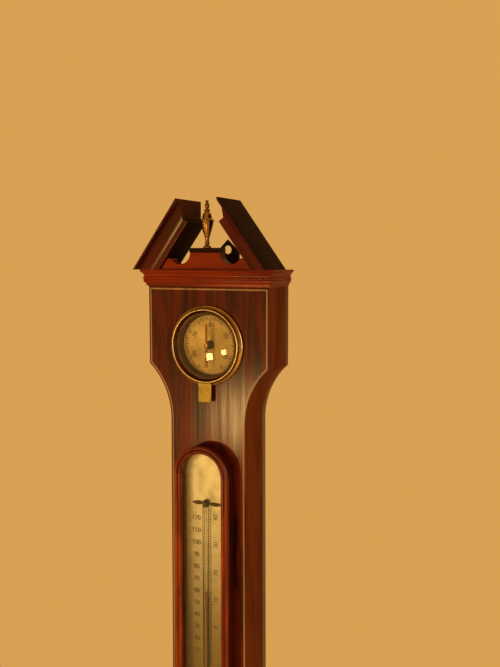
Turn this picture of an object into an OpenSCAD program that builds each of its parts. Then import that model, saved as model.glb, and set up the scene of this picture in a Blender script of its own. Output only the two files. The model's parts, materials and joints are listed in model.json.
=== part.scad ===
// Banjo barometer, wall hung, with hygrometer, boxed thermometer, wheel dial and level.
// Units are millimetres. The front faces -Y, the wall is the plane y = 0, up is +Z.
// The origin is the centre of the hanging hole at the top of the back.

/* [Case] */
// Depth of the case from the wall to the veneered front
case_depth = 48; // [42:1:58]
// Width of the square head under the cornice
head_width = 134; // [124:1:150]
// Height of the straight sides of the head
head_height = 79; // [74:1:92]
// Width of the neck just under the shoulders
neck_width = 84; // [78:1:92]
// Extra half width of the neck where the lower sweep starts
neck_spread = 1.2; // [0:0.1:3]
// Radius of the hollow shoulder curve
shoulder_radius = 75; // [60:1:95]
// Radius of the sweep from the neck to the round body
flare_radius = 110; // [90:1:140]
// Radius of the round body
body_radius = 127; // [122:1:140]
// Radius of the rounded tail
tail_radius = 48; // [46:1:56]
// Radius of the hollow between body and tail
tail_fillet = 34; // [24:1:50]
// Thickness of the front board
front_thickness = 12; // [11:0.5:14]
// Thickness of the side walls
wall = 10; // [8:0.5:12]
// Thickness of the back panel and its door
panel_thickness = 7; // [6.5:0.5:9]
// Inset of the pale edge line from the arris
line_inset = 1.6; // [1:0.1:3]
// Width of the pale edge line
line_width = 1.5; // [1:0.1:2.5]
// Depth of the pale edge line
line_depth = 1; // [0.6:0.1:1.5]

/* [Heights] */
// Hanging hole above the top of the cornice
hole_rise = 20; // [16:1:26]
// Height of the cornice
cornice_height = 17; // [14:0.5:22]
// Hygrometer centre below the cornice
hygrometer_drop = 58; // [54:1:64]
// Main dial centre below the hygrometer centre
dial_drop = 580; // [570:1:620]
// Tail centre below the main dial centre
tail_drop = 173; // [170:1:185]

/* [Pediment] */
// Overhang of the top of the cornice
cornice_overhang = 6.7; // [5:0.1:9]
// Half of the gap between the rake tips
rake_gap_half = 22.4; // [18:0.1:28]
// Sideways run of a rake from tip to foot
rake_run = 49.6; // [44:0.1:54]
// Rise of a rake tip above the cornice
rake_rise = 68.5; // [60:0.5:76]
// How far the crown stands in front of the case
crown_reach = 22; // [18:0.5:26]
// Thickness of the crown part of a rake, square to the slope
crown_thickness = 10.8; // [9.8:0.1:12.5]
// Thickness of the bed part of a rake, square to the slope
bed_thickness = 6.5; // [5:0.1:8]
// Distance of the back of the rakes from the wall
rake_back = 18; // [8:1:22]
// How far the tympanum stands in front of the case
tympanum_reach = 4; // [2:0.5:6]
// Thickness of the tympanum board
tympanum_thickness = 11; // [9:0.5:14]
// Radius of the round notches beside the plinth
notch_radius = 11.5; // [9:0.1:13]
// Distance of the notch centres from the middle
notch_offset = 28; // [26:0.5:30]
// Height of the plinth under its cap
plinth_height = 16.8; // [14:0.1:20]
// Height of the plinth cap
cap_height = 4.4; // [3:0.1:6]
// Height of the finial
finial_height = 46.5; // [40:0.5:52]

/* [Hygrometer] */
// Outer radius of the hygrometer bezel
bezel_radius = 40; // [37:0.5:44]
// Inner radius of the hygrometer cup
cup_radius = 32; // [30:0.5:33]
// Depth of the dial face behind the case front
hygrometer_recess = 7; // [6:0.5:9]
// Half length of the hygrometer hand
hygrometer_hand_reach = 21.5; // [18:0.5:26]
// Width of the bezel tab
tab_width = 14.5; // [10:0.5:18]
// Length of the bezel tab
tab_length = 19; // [14:0.5:24]

/* [Thermometer] */
// Half width of the moulded frame
frame_half = 30; // [28:0.5:32]
// Width of the moulded frame
frame_width = 7.7; // [6.5:0.1:9]
// How far the wooden box stands out under the frame
box_depth = 12.5; // [11:0.5:16]
// Thickness of the flat of the frame under its beads
frame_base = 2.2; // [1.6:0.1:3]
// Arch springing below the hygrometer centre
springing_drop = 128.5; // [124:0.5:134]
// Length of the straight sides of the box
box_straight = 251; // [236:1:270]
// Outer radius of the thermometer tube
thermometer_radius = 2.7; // [2.2:0.1:3.2]
// Bulb centre above the foot of the box
bulb_rise = 25; // [22:1:34]
// Clip centre above the bulb centre
clip_rise = 194.5; // [190:1:206]
// Height of the fluid above the bulb centre
fluid_rise = 104.5; // [40:1:180]

/* [Dial] */
// Radius of the silvered dial
dial_radius = 104; // [100:0.5:106]
// Radius of the opening behind the dial
dial_opening = 88; // [80:1:94]
// Outer radius of the dial bezel
dial_bezel_radius = 111; // [109:0.5:114]
// Rise of the domed glass
glass_rise = 9; // [6:0.5:12]
// Reach of the indicating hand
hand_reach = 86; // [76:1:92]
// Reach of the set hand
set_reach = 80; // [70:1:90]
// Radius at which the threads leave the pulley
thread_radius = 6.06; // [5.8:0.02:6.4]

/* [Tube] */
// Outer radius of the siphon tube
siphon_radius = 5; // [4.6:0.1:5.4]
// Bore radius of the siphon tube
siphon_bore = 3; // [2.8:0.1:3.2]
// Distance of the long limb from the middle
long_limb_offset = 24; // [22:0.5:25]
// Distance of the tube from the wall
tube_plane = 20; // [18:0.5:22]
// Middle height of the short mercury column above the bend
short_level = 32; // [30:1:36]

/* [Fits] */
// Radial clearance of a turning or sliding fit
running = 0.05; // [0.03:0.01:0.08]
// Gap between a moving piece and a fixed face
face_gap = 0.1; // [0.05:0.05:0.2]
// Gap round the back door
door_gap = 0.5; // [0.4:0.05:0.8]

/* [Hidden] */
$fn = 96;
far = 400;
yf = -case_depth;
z_cornice_top = -hole_rise;
z_head = z_cornice_top - cornice_height;
z_shoulder = z_head - head_height;
hyg_z = z_head - hygrometer_drop;
dial_z = hyg_z - dial_drop;
tail_z = dial_z - tail_drop;
neck_half = neck_width / 2;
neck_low = neck_half + neck_spread;
shoulder_in = head_width / 2 - neck_half;
z_neck = z_shoulder - sqrt(2 * shoulder_radius * shoulder_in - shoulder_in * shoulder_in);
flare_sum = body_radius + flare_radius;
flare_x = neck_low + flare_radius;
z_flare = dial_z + sqrt(flare_sum * flare_sum - flare_x * flare_x);
tail_a = tail_radius + tail_fillet;
tail_b = body_radius + tail_fillet;
fillet_z = (tail_a * tail_a - tail_b * tail_b - tail_drop * tail_drop) / (2 * tail_drop);
fillet_x = sqrt(tail_b * tail_b - fillet_z * fillet_z);
shoulder_x = neck_half + shoulder_radius;
flare_angle = atan2(z_flare - dial_z, flare_x);
fillet_angle = atan2(fillet_z, fillet_x);
tail_angle = atan2(fillet_z + tail_drop, fillet_x);
slope = atan2(rake_rise, rake_run);
rake_thickness = crown_thickness + bed_thickness;
rake_tip_z = z_cornice_top + rake_rise;
rake_foot_in = rake_gap_half + rake_run - rake_thickness / sin(slope);
plinth_half = notch_offset - notch_radius;
ledge = plinth_height - 5.8;
finial_y = yf - tympanum_reach + tympanum_thickness / 2;
finial_z = z_cornice_top + plinth_height + cap_height;
plate_half = 13;
plate_t = 2.5;
plate_foot = z_head - 25;
hole_r = 4.5;
door_half = 28;
door_top = z_head - 43;
door_foot = dial_z - 100;
nose = panel_thickness / 2;
door_axis_x = -door_half + door_gap + nose;
pin_r = 1.5;
cup_wall = 1;
cup_depth = 20;
spring_z = hyg_z - springing_drop;
box_foot = spring_z - box_straight;
frame_in = frame_half - frame_width;
box_half = frame_half - 1;
box_in = frame_in + 1.2;
pane_half = box_in + 2;
pane_t = 1.8;
scale_t = 1.2;
bead = frame_width / 4;
bulb_z = box_foot + bulb_rise;
bulb_r = 5;
tube_q = scale_t + thermometer_radius + 0.5;
clip_z = bulb_z + clip_rise;
seat_r = dial_bezel_radius - 10;
glass_r = seat_r + 1.5;
glass_seat = 3.2;
dome_r = (glass_r * glass_r + glass_rise * glass_rise) / (2 * glass_rise);
dome_q = glass_seat + glass_rise - dome_r;
hinge_x = -dial_bezel_radius - 2.8;
hinge_q = 2.5;
knuckle_r = 2.4;
knuckle_half = 4;
hinge_half = 12;
hinge_pin_r = 1.2;
arbor_r = 1.5;
plate_q = -3.5;
dial_t = 1.5;
spindle_r = 1.95;
y_tube = -tube_plane;
bend_r = (long_limb_offset - thread_radius) / 2;
bend_z = tail_z - 14;
level_z = bend_z + short_level;
float_r = 2.2;
float_h = 16;
short_top = level_z + 74;
guide_r = 3;
counter_h = 14;
counter_z = level_z + 40;
column_top = level_z + 749;
tube_top = z_head - wall - 5;
lvl_z = tail_z + 22;

// Extrudes a drawing in x and z forward from the plane y0
module slab(y0, t) {
    translate([0, y0, 0]) rotate([90, 0, 0]) linear_extrude(height = t) children();
}

// A round bar running forward from the plane y0
module bar(x, z, r, y0, len) {
    translate([x, y0, z]) rotate([90, 0, 0]) cylinder(r = r, h = len);
}

// Turns a radius and reach drawing about the forward axis through a height
module turned(z) {
    translate([0, yf, z]) rotate([90, 0, 0]) rotate_extrude() children();
}

// Points of an arc in the drawing of x and z
function arc(cx, cz, r, a0, a1, n) =
    [for (i = [0:n]) [cx + r * cos(a0 + (a1 - a0) * i / n), cz + r * sin(a0 + (a1 - a0) * i / n)]];

// Right half of the case outline from the head to the foot of the tail
function right_edge(inset) = concat(
    [[head_width / 2 - inset, z_head - inset]],
    arc(shoulder_x, z_neck, shoulder_radius + inset,
        acos((head_width / 2 - inset - shoulder_x) / (shoulder_radius + inset)), 180, 24),
    arc(flare_x, z_flare, flare_radius + inset, 180, 180 + flare_angle, 24),
    arc(0, dial_z, body_radius - inset, flare_angle, fillet_angle, 48),
    arc(fillet_x, dial_z + fillet_z, tail_fillet + inset, 180 + fillet_angle, 180 + tail_angle, 20),
    arc(0, tail_z, tail_radius - inset, tail_angle, -87, 28));

// Outline of the case, drawn inside the true edge by an inset
module outline(inset) {
    right = right_edge(inset);
    last = len(right) - 1;
    polygon(concat(right, [for (i = [0:last]) [-right[last - i][0], right[last - i][1]]]));
}

// One countersunk wood screw, head at the plane y = 0, running to +Y
module screw_form() {
    rotate([-90, 0, 0]) union() {
        cylinder(r1 = 2.4, r2 = 1.1, h = 1.6);
        cylinder(r = 1.1, h = 8);
    }
}

// Every screw of the object, in place
module screw_set() {
    for (p = [[-8, z_head - 5], [8, z_head - 5], [0, z_head - 17]])
        translate([p[0], 0, p[1]]) rotate([0, 0, 180]) screw_form();
    for (a = [45, 135, 225, 315])
        translate([(dial_radius - 6) * cos(a), yf - plate_q, dial_z + (dial_radius - 6) * sin(a)])
            screw_form();
    for (s = [-1, 1])
        translate([s * 27, yf - scale_t, lvl_z]) screw_form();
    for (s = [-1, 1])
        translate([hinge_x - 7, yf - 1.6, dial_z + s * 7]) screw_form();
}

module case_front() {
    color("saddlebrown") difference() {
        slab(yf + front_thickness, front_thickness) outline(0);
        slab(yf + line_depth, line_depth + 1) difference() {
            outline(line_inset);
            outline(line_inset + line_width);
        }
        bar(0, hyg_z, cup_radius + cup_wall, yf + far, 2 * far);
        bar(0, dial_z, dial_opening, yf + far, 2 * far);
        bar(0, dial_z, dial_radius, yf - plate_q + dial_t, far);
        translate([0, yf - tube_q, bulb_z]) sphere(r = bulb_r + 1.2);
        translate([-24, yf, lvl_z]) rotate([0, 90, 0]) cylinder(r = 4.4, h = 48);
        screw_set();
    }
}

module case_sides() {
    color("saddlebrown") difference() {
        slab(-panel_thickness, case_depth - panel_thickness - front_thickness) difference() {
            outline(0);
            outline(wall);
        }
        screw_set();
    }
}

module back_panel() {
    color("peru") difference() {
        slab(0, panel_thickness) difference() {
            outline(0);
            translate([-door_half, door_foot]) square([2 * door_half, door_top - door_foot]);
        }
        translate([-plate_half, -plate_t, plate_foot])
            cube([2 * plate_half, plate_t + 1, 60]);
        translate([door_axis_x, -nose, door_foot - 8])
            cylinder(r = pin_r, h = door_top - door_foot + 16);
        screw_set();
    }
}

module back_door() {
    color("peru") difference() {
        union() {
            translate([door_axis_x, -nose, door_foot + door_gap])
                cylinder(r = nose, h = door_top - door_foot - 2 * door_gap);
            translate([door_axis_x, -panel_thickness, door_foot + door_gap])
                cube([door_half - door_gap - door_axis_x, panel_thickness,
                      door_top - door_foot - 2 * door_gap]);
        }
        for (z = [door_foot, door_top - 9])
            translate([door_axis_x, -nose, z]) cylinder(r = pin_r + running, h = 9);
        bar(door_half - 13, (door_top + door_foot) / 2, 7, 1, panel_thickness + 2);
    }
}

module door_pins() {
    color("goldenrod")
        for (z = [door_foot - 8, door_top - 8])
            translate([door_axis_x, -nose, z]) cylinder(r = pin_r, h = 16);
}

module edge_line() {
    color("tan") slab(yf + line_depth, line_depth) difference() {
        outline(line_inset);
        outline(line_inset + line_width);
    }
}

// Front half of the cornice section: reach against height under the top
module cornice_section(back) {
    o = cornice_overhang;
    h = cornice_height;
    difference() {
        union() {
            translate([-back, -1.6]) square([back + o, 1.6]);
            translate([-back, -0.42 * h]) square([back + o - 0.5, 0.42 * h - 1.6]);
            translate([-back, -0.6 * h]) square([back + 0.42 * o, 0.19 * h]);
            translate([0.42 * o, -0.51 * h]) circle(r = 0.09 * h);
            translate([-back, -h]) square([back + 0.1 * o, 0.41 * h]);
            intersection() {
                translate([-back, -0.97 * h]) square([back + o, 0.37 * h]);
                translate([0.1 * o, -0.6 * h]) scale([1, 1.25]) circle(r = 0.42 * o + 0.5);
            }
        }
        translate([o + 2.4, -0.42 * h - 0.2]) circle(r = 0.42 * h - 1.4);
    }
}

module cornice() {
    color("sienna") translate([0, 0, z_cornice_top]) difference() {
        intersection() {
            translate([-far, yf, 0]) rotate([90, 0, 90]) linear_extrude(height = 2 * far)
                mirror([1, 0]) cornice_section(case_depth - plate_t);
            translate([0, 0, 0]) rotate([90, 0, 0]) linear_extrude(height = far) union() {
                translate([head_width / 2, 0]) cornice_section(head_width / 2);
                translate([-head_width / 2, 0]) mirror([1, 0]) cornice_section(head_width / 2);
            }
        }
    }
}

module tympanum() {
    color("sienna") slab(yf - tympanum_reach + tympanum_thickness, tympanum_thickness)
        translate([0, z_cornice_top]) difference() {
            union() {
                polygon([[-rake_foot_in, 0], [rake_foot_in, 0],
                         [rake_foot_in - ledge / tan(slope), ledge],
                         [-rake_foot_in + ledge / tan(slope), ledge]]);
                translate([-plinth_half, 0]) square([2 * plinth_half, plinth_height]);
            }
            for (s = [-1, 1])
                translate([s * notch_offset, plinth_height]) circle(r = notch_radius);
        }
}

module plinth_cap() {
    color("sienna") translate([-plinth_half - 0.6, yf - tympanum_reach - 0.8,
                               z_cornice_top + plinth_height])
        cube([2 * plinth_half + 1.2, tympanum_thickness + 1.6, cap_height]);
}

// Crown part of a rake: y against depth under the roof face
module crown_section() {
    difference() {
        translate([yf - crown_reach, -crown_thickness])
            square([case_depth + crown_reach - rake_back, crown_thickness]);
        translate([yf - crown_reach - 1, -crown_thickness - 1])
            square([crown_reach - 8.2 + 1, crown_thickness - 6.6 + 1]);
        translate([yf - crown_reach + 1.95, -13]) circle(r = 11.5);
    }
    translate([yf - 8.2, -crown_thickness + 2.1]) circle(r = 2.1);
}

module rake() {
    length = rake_run / cos(slope) + 40;
    intersection() {
        union() {
            intersection() {
                translate([-rake_gap_half, 0, rake_tip_z]) rotate([0, -slope, 0])
                    translate([-length, 0, 0]) rotate([90, 0, 90])
                        linear_extrude(height = length + 40) crown_section();
                translate([-far - rake_gap_half, -far, -far]) cube([far, 2 * far, 2 * far]);
            }
            translate([-rake_gap_half, 0, rake_tip_z]) rotate([0, -slope, 0])
                translate([-length, 0, 0]) rotate([90, 0, 90])
                    linear_extrude(height = length - crown_thickness * tan(slope))
                        translate([yf - 7.6, -rake_thickness])
                            square([case_depth + 7.6 - rake_back, bed_thickness]);
        }
        translate([-far, -far, z_cornice_top]) cube([2 * far, 2 * far, far]);
    }
}

module left_rake() {
    color("maroon") rake();
}

module right_rake() {
    color("maroon") mirror([1, 0, 0]) rake();
}

module finial() {
    k = finial_height / 46.5;
    color("gold") translate([0, finial_y, finial_z]) rotate_extrude()
        polygon([for (p = [[0, 0], [4.2, 0], [4.2, 1.2], [3.2, 2.2], [1.7, 3.2], [1.7, 4.2],
                           [2.6, 4.8], [2.6, 5.6], [1.6, 6.4], [1.6, 9.6], [2.2, 11],
                           [3.4, 14], [4.6, 18], [5.6, 22], [6.2, 25], [6.4, 25.8],
                           [7.2, 26.2], [7.2, 27.2], [6.5, 27.6], [5.9, 29.4], [4.7, 31.6],
                           [3.2, 33.4], [2.1, 34.8], [1.7, 36], [2.6, 37], [2.9, 38.4],
                           [2.5, 39.8], [1.5, 40.6], [2.2, 41.6], [2.4, 42.6], [1.9, 43.6],
                           [1.2, 44], [1.6, 44.8], [1.4, 45.9], [0.7, 46.5], [0, 46.5]])
                 [p[0], p[1] * k]]);
}

module hanging_plate() {
    color("dimgray") difference() {
        slab(0, plate_t) polygon([[-plate_half, plate_foot], [plate_half, plate_foot],
                                  [plate_half, -2.5], [0, 10.5], [-plate_half, -2.5]]);
        bar(0, 0, hole_r, far, 2 * far);
        screw_set();
    }
}

module brass_screws() {
    color("goldenrod") screw_set();
}

module hygrometer_cup() {
    color("goldenrod") difference() {
        bar(0, hyg_z, cup_radius + cup_wall, yf + cup_depth, cup_depth);
        bar(0, hyg_z, cup_radius, yf + cup_depth - cup_wall, cup_depth);
    }
}

module hygrometer_dial() {
    color("silver") difference() {
        bar(0, hyg_z, cup_radius, yf + hygrometer_recess + 1.2, 2.6);
        bar(0, hyg_z, cup_radius - 1.5, yf + hygrometer_recess, 9);
        bar(0, hyg_z, 2.6, yf + far, 2 * far);
    }
}

module hygrometer_pillar() {
    color("goldenrod") difference() {
        bar(0, hyg_z, 2.6, yf + cup_depth - cup_wall, cup_depth - cup_wall - 0.6);
        bar(0, hyg_z, 0.8 + running, yf + cup_depth - cup_wall - 1, cup_depth);
    }
}

module oat_beard() {
    color("wheat") bar(0, hyg_z, 0.4, yf + cup_depth - cup_wall - 1, 6);
}

module hygrometer_hand() {
    r = hygrometer_hand_reach;
    color("sienna") union() {
        bar(0, hyg_z, 0.8, yf + 10, 11.6);
        slab(yf - 0.6, 0.8) translate([0, hyg_z]) union() {
            circle(r = 2.2);
            polygon([[-1.1, -r], [1.1, -r], [0.8, 0], [0.35, r], [-0.35, r], [-0.8, 0]]);
        }
    }
}

module hygrometer_bezel() {
    b = bezel_radius;
    c = cup_radius - running;
    color("goldenrod") turned(hyg_z)
        polygon([[c - 1.1, -4], [c, -4], [c, face_gap], [b, face_gap], [b, 3.4],
                 [b - 1.2, 4.2], [b - 3, 4.2], [b - 3.5, 5.8], [b - 4.4, 6.8],
                 [b - 5.4, 6.8], [c + 1.25, 5.4], [c + 1.25, 2.4], [c - 1.1, 2.4]]);
}

module hygrometer_glass() {
    r = cup_radius - running + 1.15;
    s = 2.2;
    big = (r * r + s * s) / (2 * s);
    color("lightblue", 0.4) translate([0, yf, hyg_z]) rotate([90, 0, 0]) intersection() {
        translate([0, 0, 2.4]) cylinder(r = r, h = 10);
        difference() {
            translate([0, 0, 2.4 + s - big]) sphere(r = big + 1.2);
            translate([0, 0, 2.4 + s - big]) sphere(r = big);
        }
    }
}

module bezel_tab() {
    top = hyg_z - sqrt((bezel_radius - 3) * (bezel_radius - 3) - tab_width * tab_width / 4);
    color("gold") difference() {
        translate([-tab_width / 2, yf - 5.6, hyg_z - bezel_radius + 3 - tab_length])
            cube([tab_width, 1.4, top - hyg_z + bezel_radius - 3 + tab_length]);
        bar(0, hyg_z, bezel_radius - 3, yf + far, 2 * far);
    }
}

// Arched drawing with a flat foot
module arched(half, foot) {
    translate([0, spring_z]) circle(r = half);
    translate([-half, foot]) square([2 * half, spring_z - foot]);
}

module thermometer_box() {
    color("saddlebrown") difference() {
        slab(yf, box_depth) arched(box_half, box_foot + 1);
        slab(yf + 1, box_depth + 2) arched(box_in, box_foot + frame_width + 1.2);
        slab(yf - box_depth + pane_t, 9) arched(pane_half, box_foot + frame_width - 0.8);
    }
}

// Section of the moulded frame: distance from the middle against reach
module frame_section() {
    translate([frame_in, 0]) square([frame_width, frame_base]);
    intersection() {
        translate([frame_in, 0]) square([frame_width, frame_base + 2 * bead]);
        union() {
            translate([frame_in + bead, frame_base]) circle(r = bead);
            translate([frame_in + 3 * bead, frame_base]) circle(r = bead);
        }
    }
}

module frame_arch() {
    color("chocolate") translate([0, yf - box_depth, spring_z]) rotate([90, 0, 0])
        rotate_extrude(angle = 180) frame_section();
}

module frame_sides() {
    color("chocolate") for (s = [0, 1])
        mirror([s, 0, 0]) translate([0, yf - box_depth, box_foot]) mirror([0, 1, 0])
            linear_extrude(height = spring_z - box_foot) frame_section();
}

module frame_sill() {
    color("chocolate") translate([-frame_in, yf - box_depth, box_foot - frame_in])
        rotate([90, 0, 90]) linear_extrude(height = 2 * frame_in)
            mirror([1, 0]) rotate([0, 0, 0]) union() {
                translate([0, frame_in]) square([frame_base, frame_width]);
                intersection() {
                    translate([0, frame_in]) square([frame_base + 2 * bead, frame_width]);
                    union() {
                        translate([frame_base, frame_in + bead]) circle(r = bead);
                        translate([frame_base, frame_in + 3 * bead]) circle(r = bead);
                    }
                }
            }
}

module thermometer_glass() {
    color("lightblue", 0.3) slab(yf - box_depth + pane_t, pane_t)
        arched(pane_half, box_foot + frame_width - 0.8);
}

module thermometer_scale() {
    color("silver") difference() {
        slab(yf, scale_t) arched(box_in, box_foot + frame_width + 1.2);
        translate([0, yf - tube_q, bulb_z]) sphere(r = bulb_r + 1.2);
    }
}

module thermometer_tube() {
    color("white", 0.4) translate([0, yf - tube_q, bulb_z]) difference() {
        union() {
            cylinder(r = thermometer_radius, h = clip_rise + 2);
            sphere(r = bulb_r);
        }
        cylinder(r = 1.1, h = clip_rise - 1);
        sphere(r = bulb_r - 0.8);
    }
}

module thermometer_fluid() {
    color("black") translate([0, yf - tube_q, bulb_z]) union() {
        cylinder(r = 1.1, h = fluid_rise);
        sphere(r = bulb_r - 0.8);
    }
}

module winged_clip() {
    color("darkgoldenrod") difference() {
        union() {
            translate([0, yf - tube_q, clip_z - 3]) cylinder(r = thermometer_radius + 1.2, h = 6);
            translate([0, yf - tube_q, clip_z + 3]) sphere(r = thermometer_radius + 1.2);
            for (s = [-1, 1])
                slab(yf - scale_t, 1.4) intersection() {
                    translate([s * 9.4, clip_z + 12]) circle(r = 14);
                    translate([s * 9.4, clip_z - 12]) circle(r = 14);
                }
            for (s = [-1, 1]) bar(s * 9.4, clip_z, 0.9, yf - scale_t, 2);
        }
        translate([0, yf - tube_q, bulb_z])
            cylinder(r = thermometer_radius, h = clip_rise + 2);
        translate([-30, yf - scale_t, clip_z - 30]) cube([60, 20, 60]);
    }
}

module bulb_clip() {
    color("darkgoldenrod") difference() {
        union() {
            translate([0, yf - tube_q, bulb_z + 11])
                cylinder(r = thermometer_radius + 1.1, h = 5);
            translate([-9, yf - scale_t - 1.2, bulb_z + 11]) cube([18, 1.2, 5]);
        }
        translate([0, yf - tube_q, bulb_z]) cylinder(r = thermometer_radius, h = 40);
        translate([-30, yf - scale_t, bulb_z]) cube([60, 20, 60]);
    }
}

module dial_plate() {
    color("silver") difference() {
        bar(0, dial_z, dial_radius, yf - plate_q + dial_t, dial_t);
        bar(0, dial_z, arbor_r + 0.6, yf + far, 2 * far);
        screw_set();
    }
}

module dial_bezel() {
    b = dial_bezel_radius;
    color("goldenrod") turned(dial_z)
        polygon([[seat_r, face_gap], [b, face_gap], [b, 2.6], [b - 1.5, 4], [b - 4, 6.8],
                 [b - 6.2, 7.2], [glass_r + 0.1, 6], [glass_r + 0.1, glass_seat],
                 [seat_r, glass_seat]]);
}

module dial_glass() {
    color("lightblue", 0.3) translate([0, yf, dial_z]) rotate([90, 0, 0]) difference() {
        intersection() {
            translate([0, 0, glass_seat]) cylinder(r = glass_r, h = 30);
            translate([0, 0, dome_q]) sphere(r = dome_r + 2);
        }
        translate([0, 0, dome_q]) sphere(r = dome_r);
        cylinder(r = spindle_r + running, h = 40);
    }
}

module bezel_knuckle() {
    color("goldenrod") difference() {
        union() {
            translate([hinge_x, yf - hinge_q, dial_z - knuckle_half])
                cylinder(r = knuckle_r, h = 2 * knuckle_half);
            translate([hinge_x, yf - 2.6, dial_z - knuckle_half])
                cube([4, 1.4, 2 * knuckle_half]);
        }
        translate([hinge_x, yf - hinge_q, dial_z - far])
            cylinder(r = hinge_pin_r + running, h = 2 * far);
        bar(0, dial_z, dial_bezel_radius, yf + far, 2 * far);
    }
}

module dial_tab() {
    color("goldenrod") difference() {
        translate([dial_bezel_radius - 4, yf - 2.6, dial_z - 6]) cube([12, 1.4, 12]);
        bar(0, dial_z, dial_bezel_radius, yf + far, 2 * far);
    }
}

module hinge_leaf() {
    color("goldenrod") difference() {
        union() {
            translate([hinge_x - 11, yf - 1.6, dial_z - hinge_half])
                cube([8.2, 1.6, 2 * hinge_half]);
            for (z = [-hinge_half, knuckle_half + face_gap])
                translate([hinge_x, yf - hinge_q, dial_z + z])
                    cylinder(r = knuckle_r, h = hinge_half - knuckle_half - face_gap);
            for (z = [-hinge_half, knuckle_half + face_gap])
                translate([hinge_x - 4, yf - 1.6, dial_z + z])
                    cube([4, 1.5, hinge_half - knuckle_half - face_gap]);
        }
        translate([hinge_x, yf - hinge_q, dial_z - far])
            cylinder(r = hinge_pin_r, h = 2 * far);
        screw_set();
    }
}

module hinge_pin() {
    color("goldenrod") translate([hinge_x, yf - hinge_q, dial_z - hinge_half - 1])
        cylinder(r = hinge_pin_r, h = 2 * hinge_half + 2);
}

module set_knob() {
    q = glass_seat + glass_rise + 2.6;
    color("gold") union() {
        bar(0, dial_z, spindle_r, yf - 1.4, q - 1.4);
        bar(0, dial_z, 5, yf - q, 2);
        bar(0, dial_z, 3.4, yf - q - 2, 1.4);
        bar(0, dial_z, 5.6, yf - q - 3.4, 3);
    }
}

module set_hand() {
    color("gold") difference() {
        slab(yf - 1.6, 0.8) translate([0, dial_z]) union() {
            circle(r = 4);
            polygon([[-1.8, -26], [1.8, -26], [1.4, 0], [1, set_reach - 14], [0, set_reach],
                     [-1, set_reach - 14], [-1.4, 0]]);
        }
        bar(0, dial_z, spindle_r, yf + far, 2 * far);
    }
}

module indicating_hand() {
    color("midnightblue") difference() {
        slab(yf + 1.6, 0.8) translate([0, dial_z]) union() {
            circle(r = 5);
            polygon([[-1.2, -26], [1.2, -26], [1.8, 0], [1.2, hand_reach - 22],
                     [3.4, hand_reach - 16], [0, hand_reach], [-3.4, hand_reach - 16],
                     [-1.2, hand_reach - 22], [-1.8, 0]]);
            difference() {
                translate([0, -31]) circle(r = 6);
                translate([0, -31]) circle(r = 3.6);
            }
        }
        bar(0, dial_z, arbor_r, yf + far, 2 * far);
    }
}

module hand_arbor() {
    color("lightgray") bar(0, dial_z, arbor_r, -12, case_depth - 12 - 0.4);
}

module thread_pulley() {
    color("goldenrod") difference() {
        union() {
            bar(0, dial_z, thread_radius - 0.3, y_tube + 2, 4);
            bar(0, dial_z, thread_radius + 2, y_tube + 2.2, 1.2);
            bar(0, dial_z, thread_radius + 2, y_tube - 1, 1.2);
        }
        bar(0, dial_z, arbor_r, yf + far, 2 * far);
    }
}

module movement_plate() {
    color("goldenrod") difference() {
        translate([-18, yf - plate_q + dial_t, dial_z - 30]) cube([36, 2, 60]);
        bar(0, dial_z, arbor_r + running, yf + far, 2 * far);
    }
}

module movement_cock() {
    y0 = yf - plate_q + dial_t + 2;
    color("goldenrod") difference() {
        union() {
            for (s = [-1, 1])
                translate([-5, y0, dial_z + s * 24 - 2.5]) cube([10, -13 - y0, 5]);
            translate([-5, -15, dial_z - 26.5]) cube([10, 2, 53]);
        }
        bar(0, dial_z, arbor_r + running, yf + far, 2 * far);
    }
}

module limb(x, z0, z1, r) {
    translate([x, y_tube, z0]) cylinder(r = r, h = z1 - z0);
}

module bend(r) {
    translate([(thread_radius + long_limb_offset) / 2, y_tube, bend_z]) rotate([-90, 0, 0])
        rotate_extrude(angle = 180) translate([bend_r, 0]) circle(r = r);
}

module siphon_tube() {
    color("white", 0.4) difference() {
        union() {
            bend(siphon_radius);
            limb(thread_radius, bend_z, short_top, siphon_radius);
            limb(long_limb_offset, bend_z, tube_top, siphon_radius);
        }
        bend(siphon_bore);
        limb(thread_radius, bend_z, short_top + 1, siphon_bore);
        limb(long_limb_offset, bend_z, tube_top - 2, siphon_bore);
    }
}

module mercury_bend() {
    color("gray") union() {
        bend(siphon_bore);
        limb(thread_radius, bend_z, bend_z + 4, siphon_bore);
        limb(long_limb_offset, bend_z, column_top - 30, siphon_bore);
    }
}

module mercury_short() {
    color("gray") limb(thread_radius, bend_z + 4, level_z, siphon_bore);
}

module mercury_top() {
    color("gray") limb(long_limb_offset, column_top - 30, column_top, siphon_bore);
}

module float_weight() {
    color("black") limb(thread_radius, level_z + 0.4, level_z + float_h, float_r);
}

module float_thread() {
    color("wheat") limb(thread_radius, level_z + float_h, dial_z, 0.25);
}

module counterweight() {
    color("gray") limb(-thread_radius, counter_z, counter_z + counter_h, float_r - 0.4);
}

module counter_thread() {
    color("wheat") limb(-thread_radius, counter_z + counter_h, dial_z, 0.25);
}

module guide_tube() {
    color("goldenrod") difference() {
        limb(-thread_radius, counter_z - 24, short_top, guide_r);
        limb(-thread_radius, counter_z - 25, short_top + 1, guide_r - 0.7);
    }
}

module tube_cleats() {
    y0 = yf + front_thickness;
    color("burlywood") difference() {
        union() {
            for (z = [z_neck + 20, spring_z - 60, box_foot + 20])
                translate([long_limb_offset - 8, y0, z]) cube([16, y_tube - y0, 14]);
            translate([-thread_radius - 7, y0, short_top - 22])
                cube([long_limb_offset + thread_radius + 15, y_tube - y0, 14]);
        }
        limb(long_limb_offset, bend_z, tube_top, siphon_radius);
        limb(thread_radius, bend_z, short_top, siphon_radius);
        limb(-thread_radius, bend_z, short_top, guide_r);
    }
}

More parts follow.
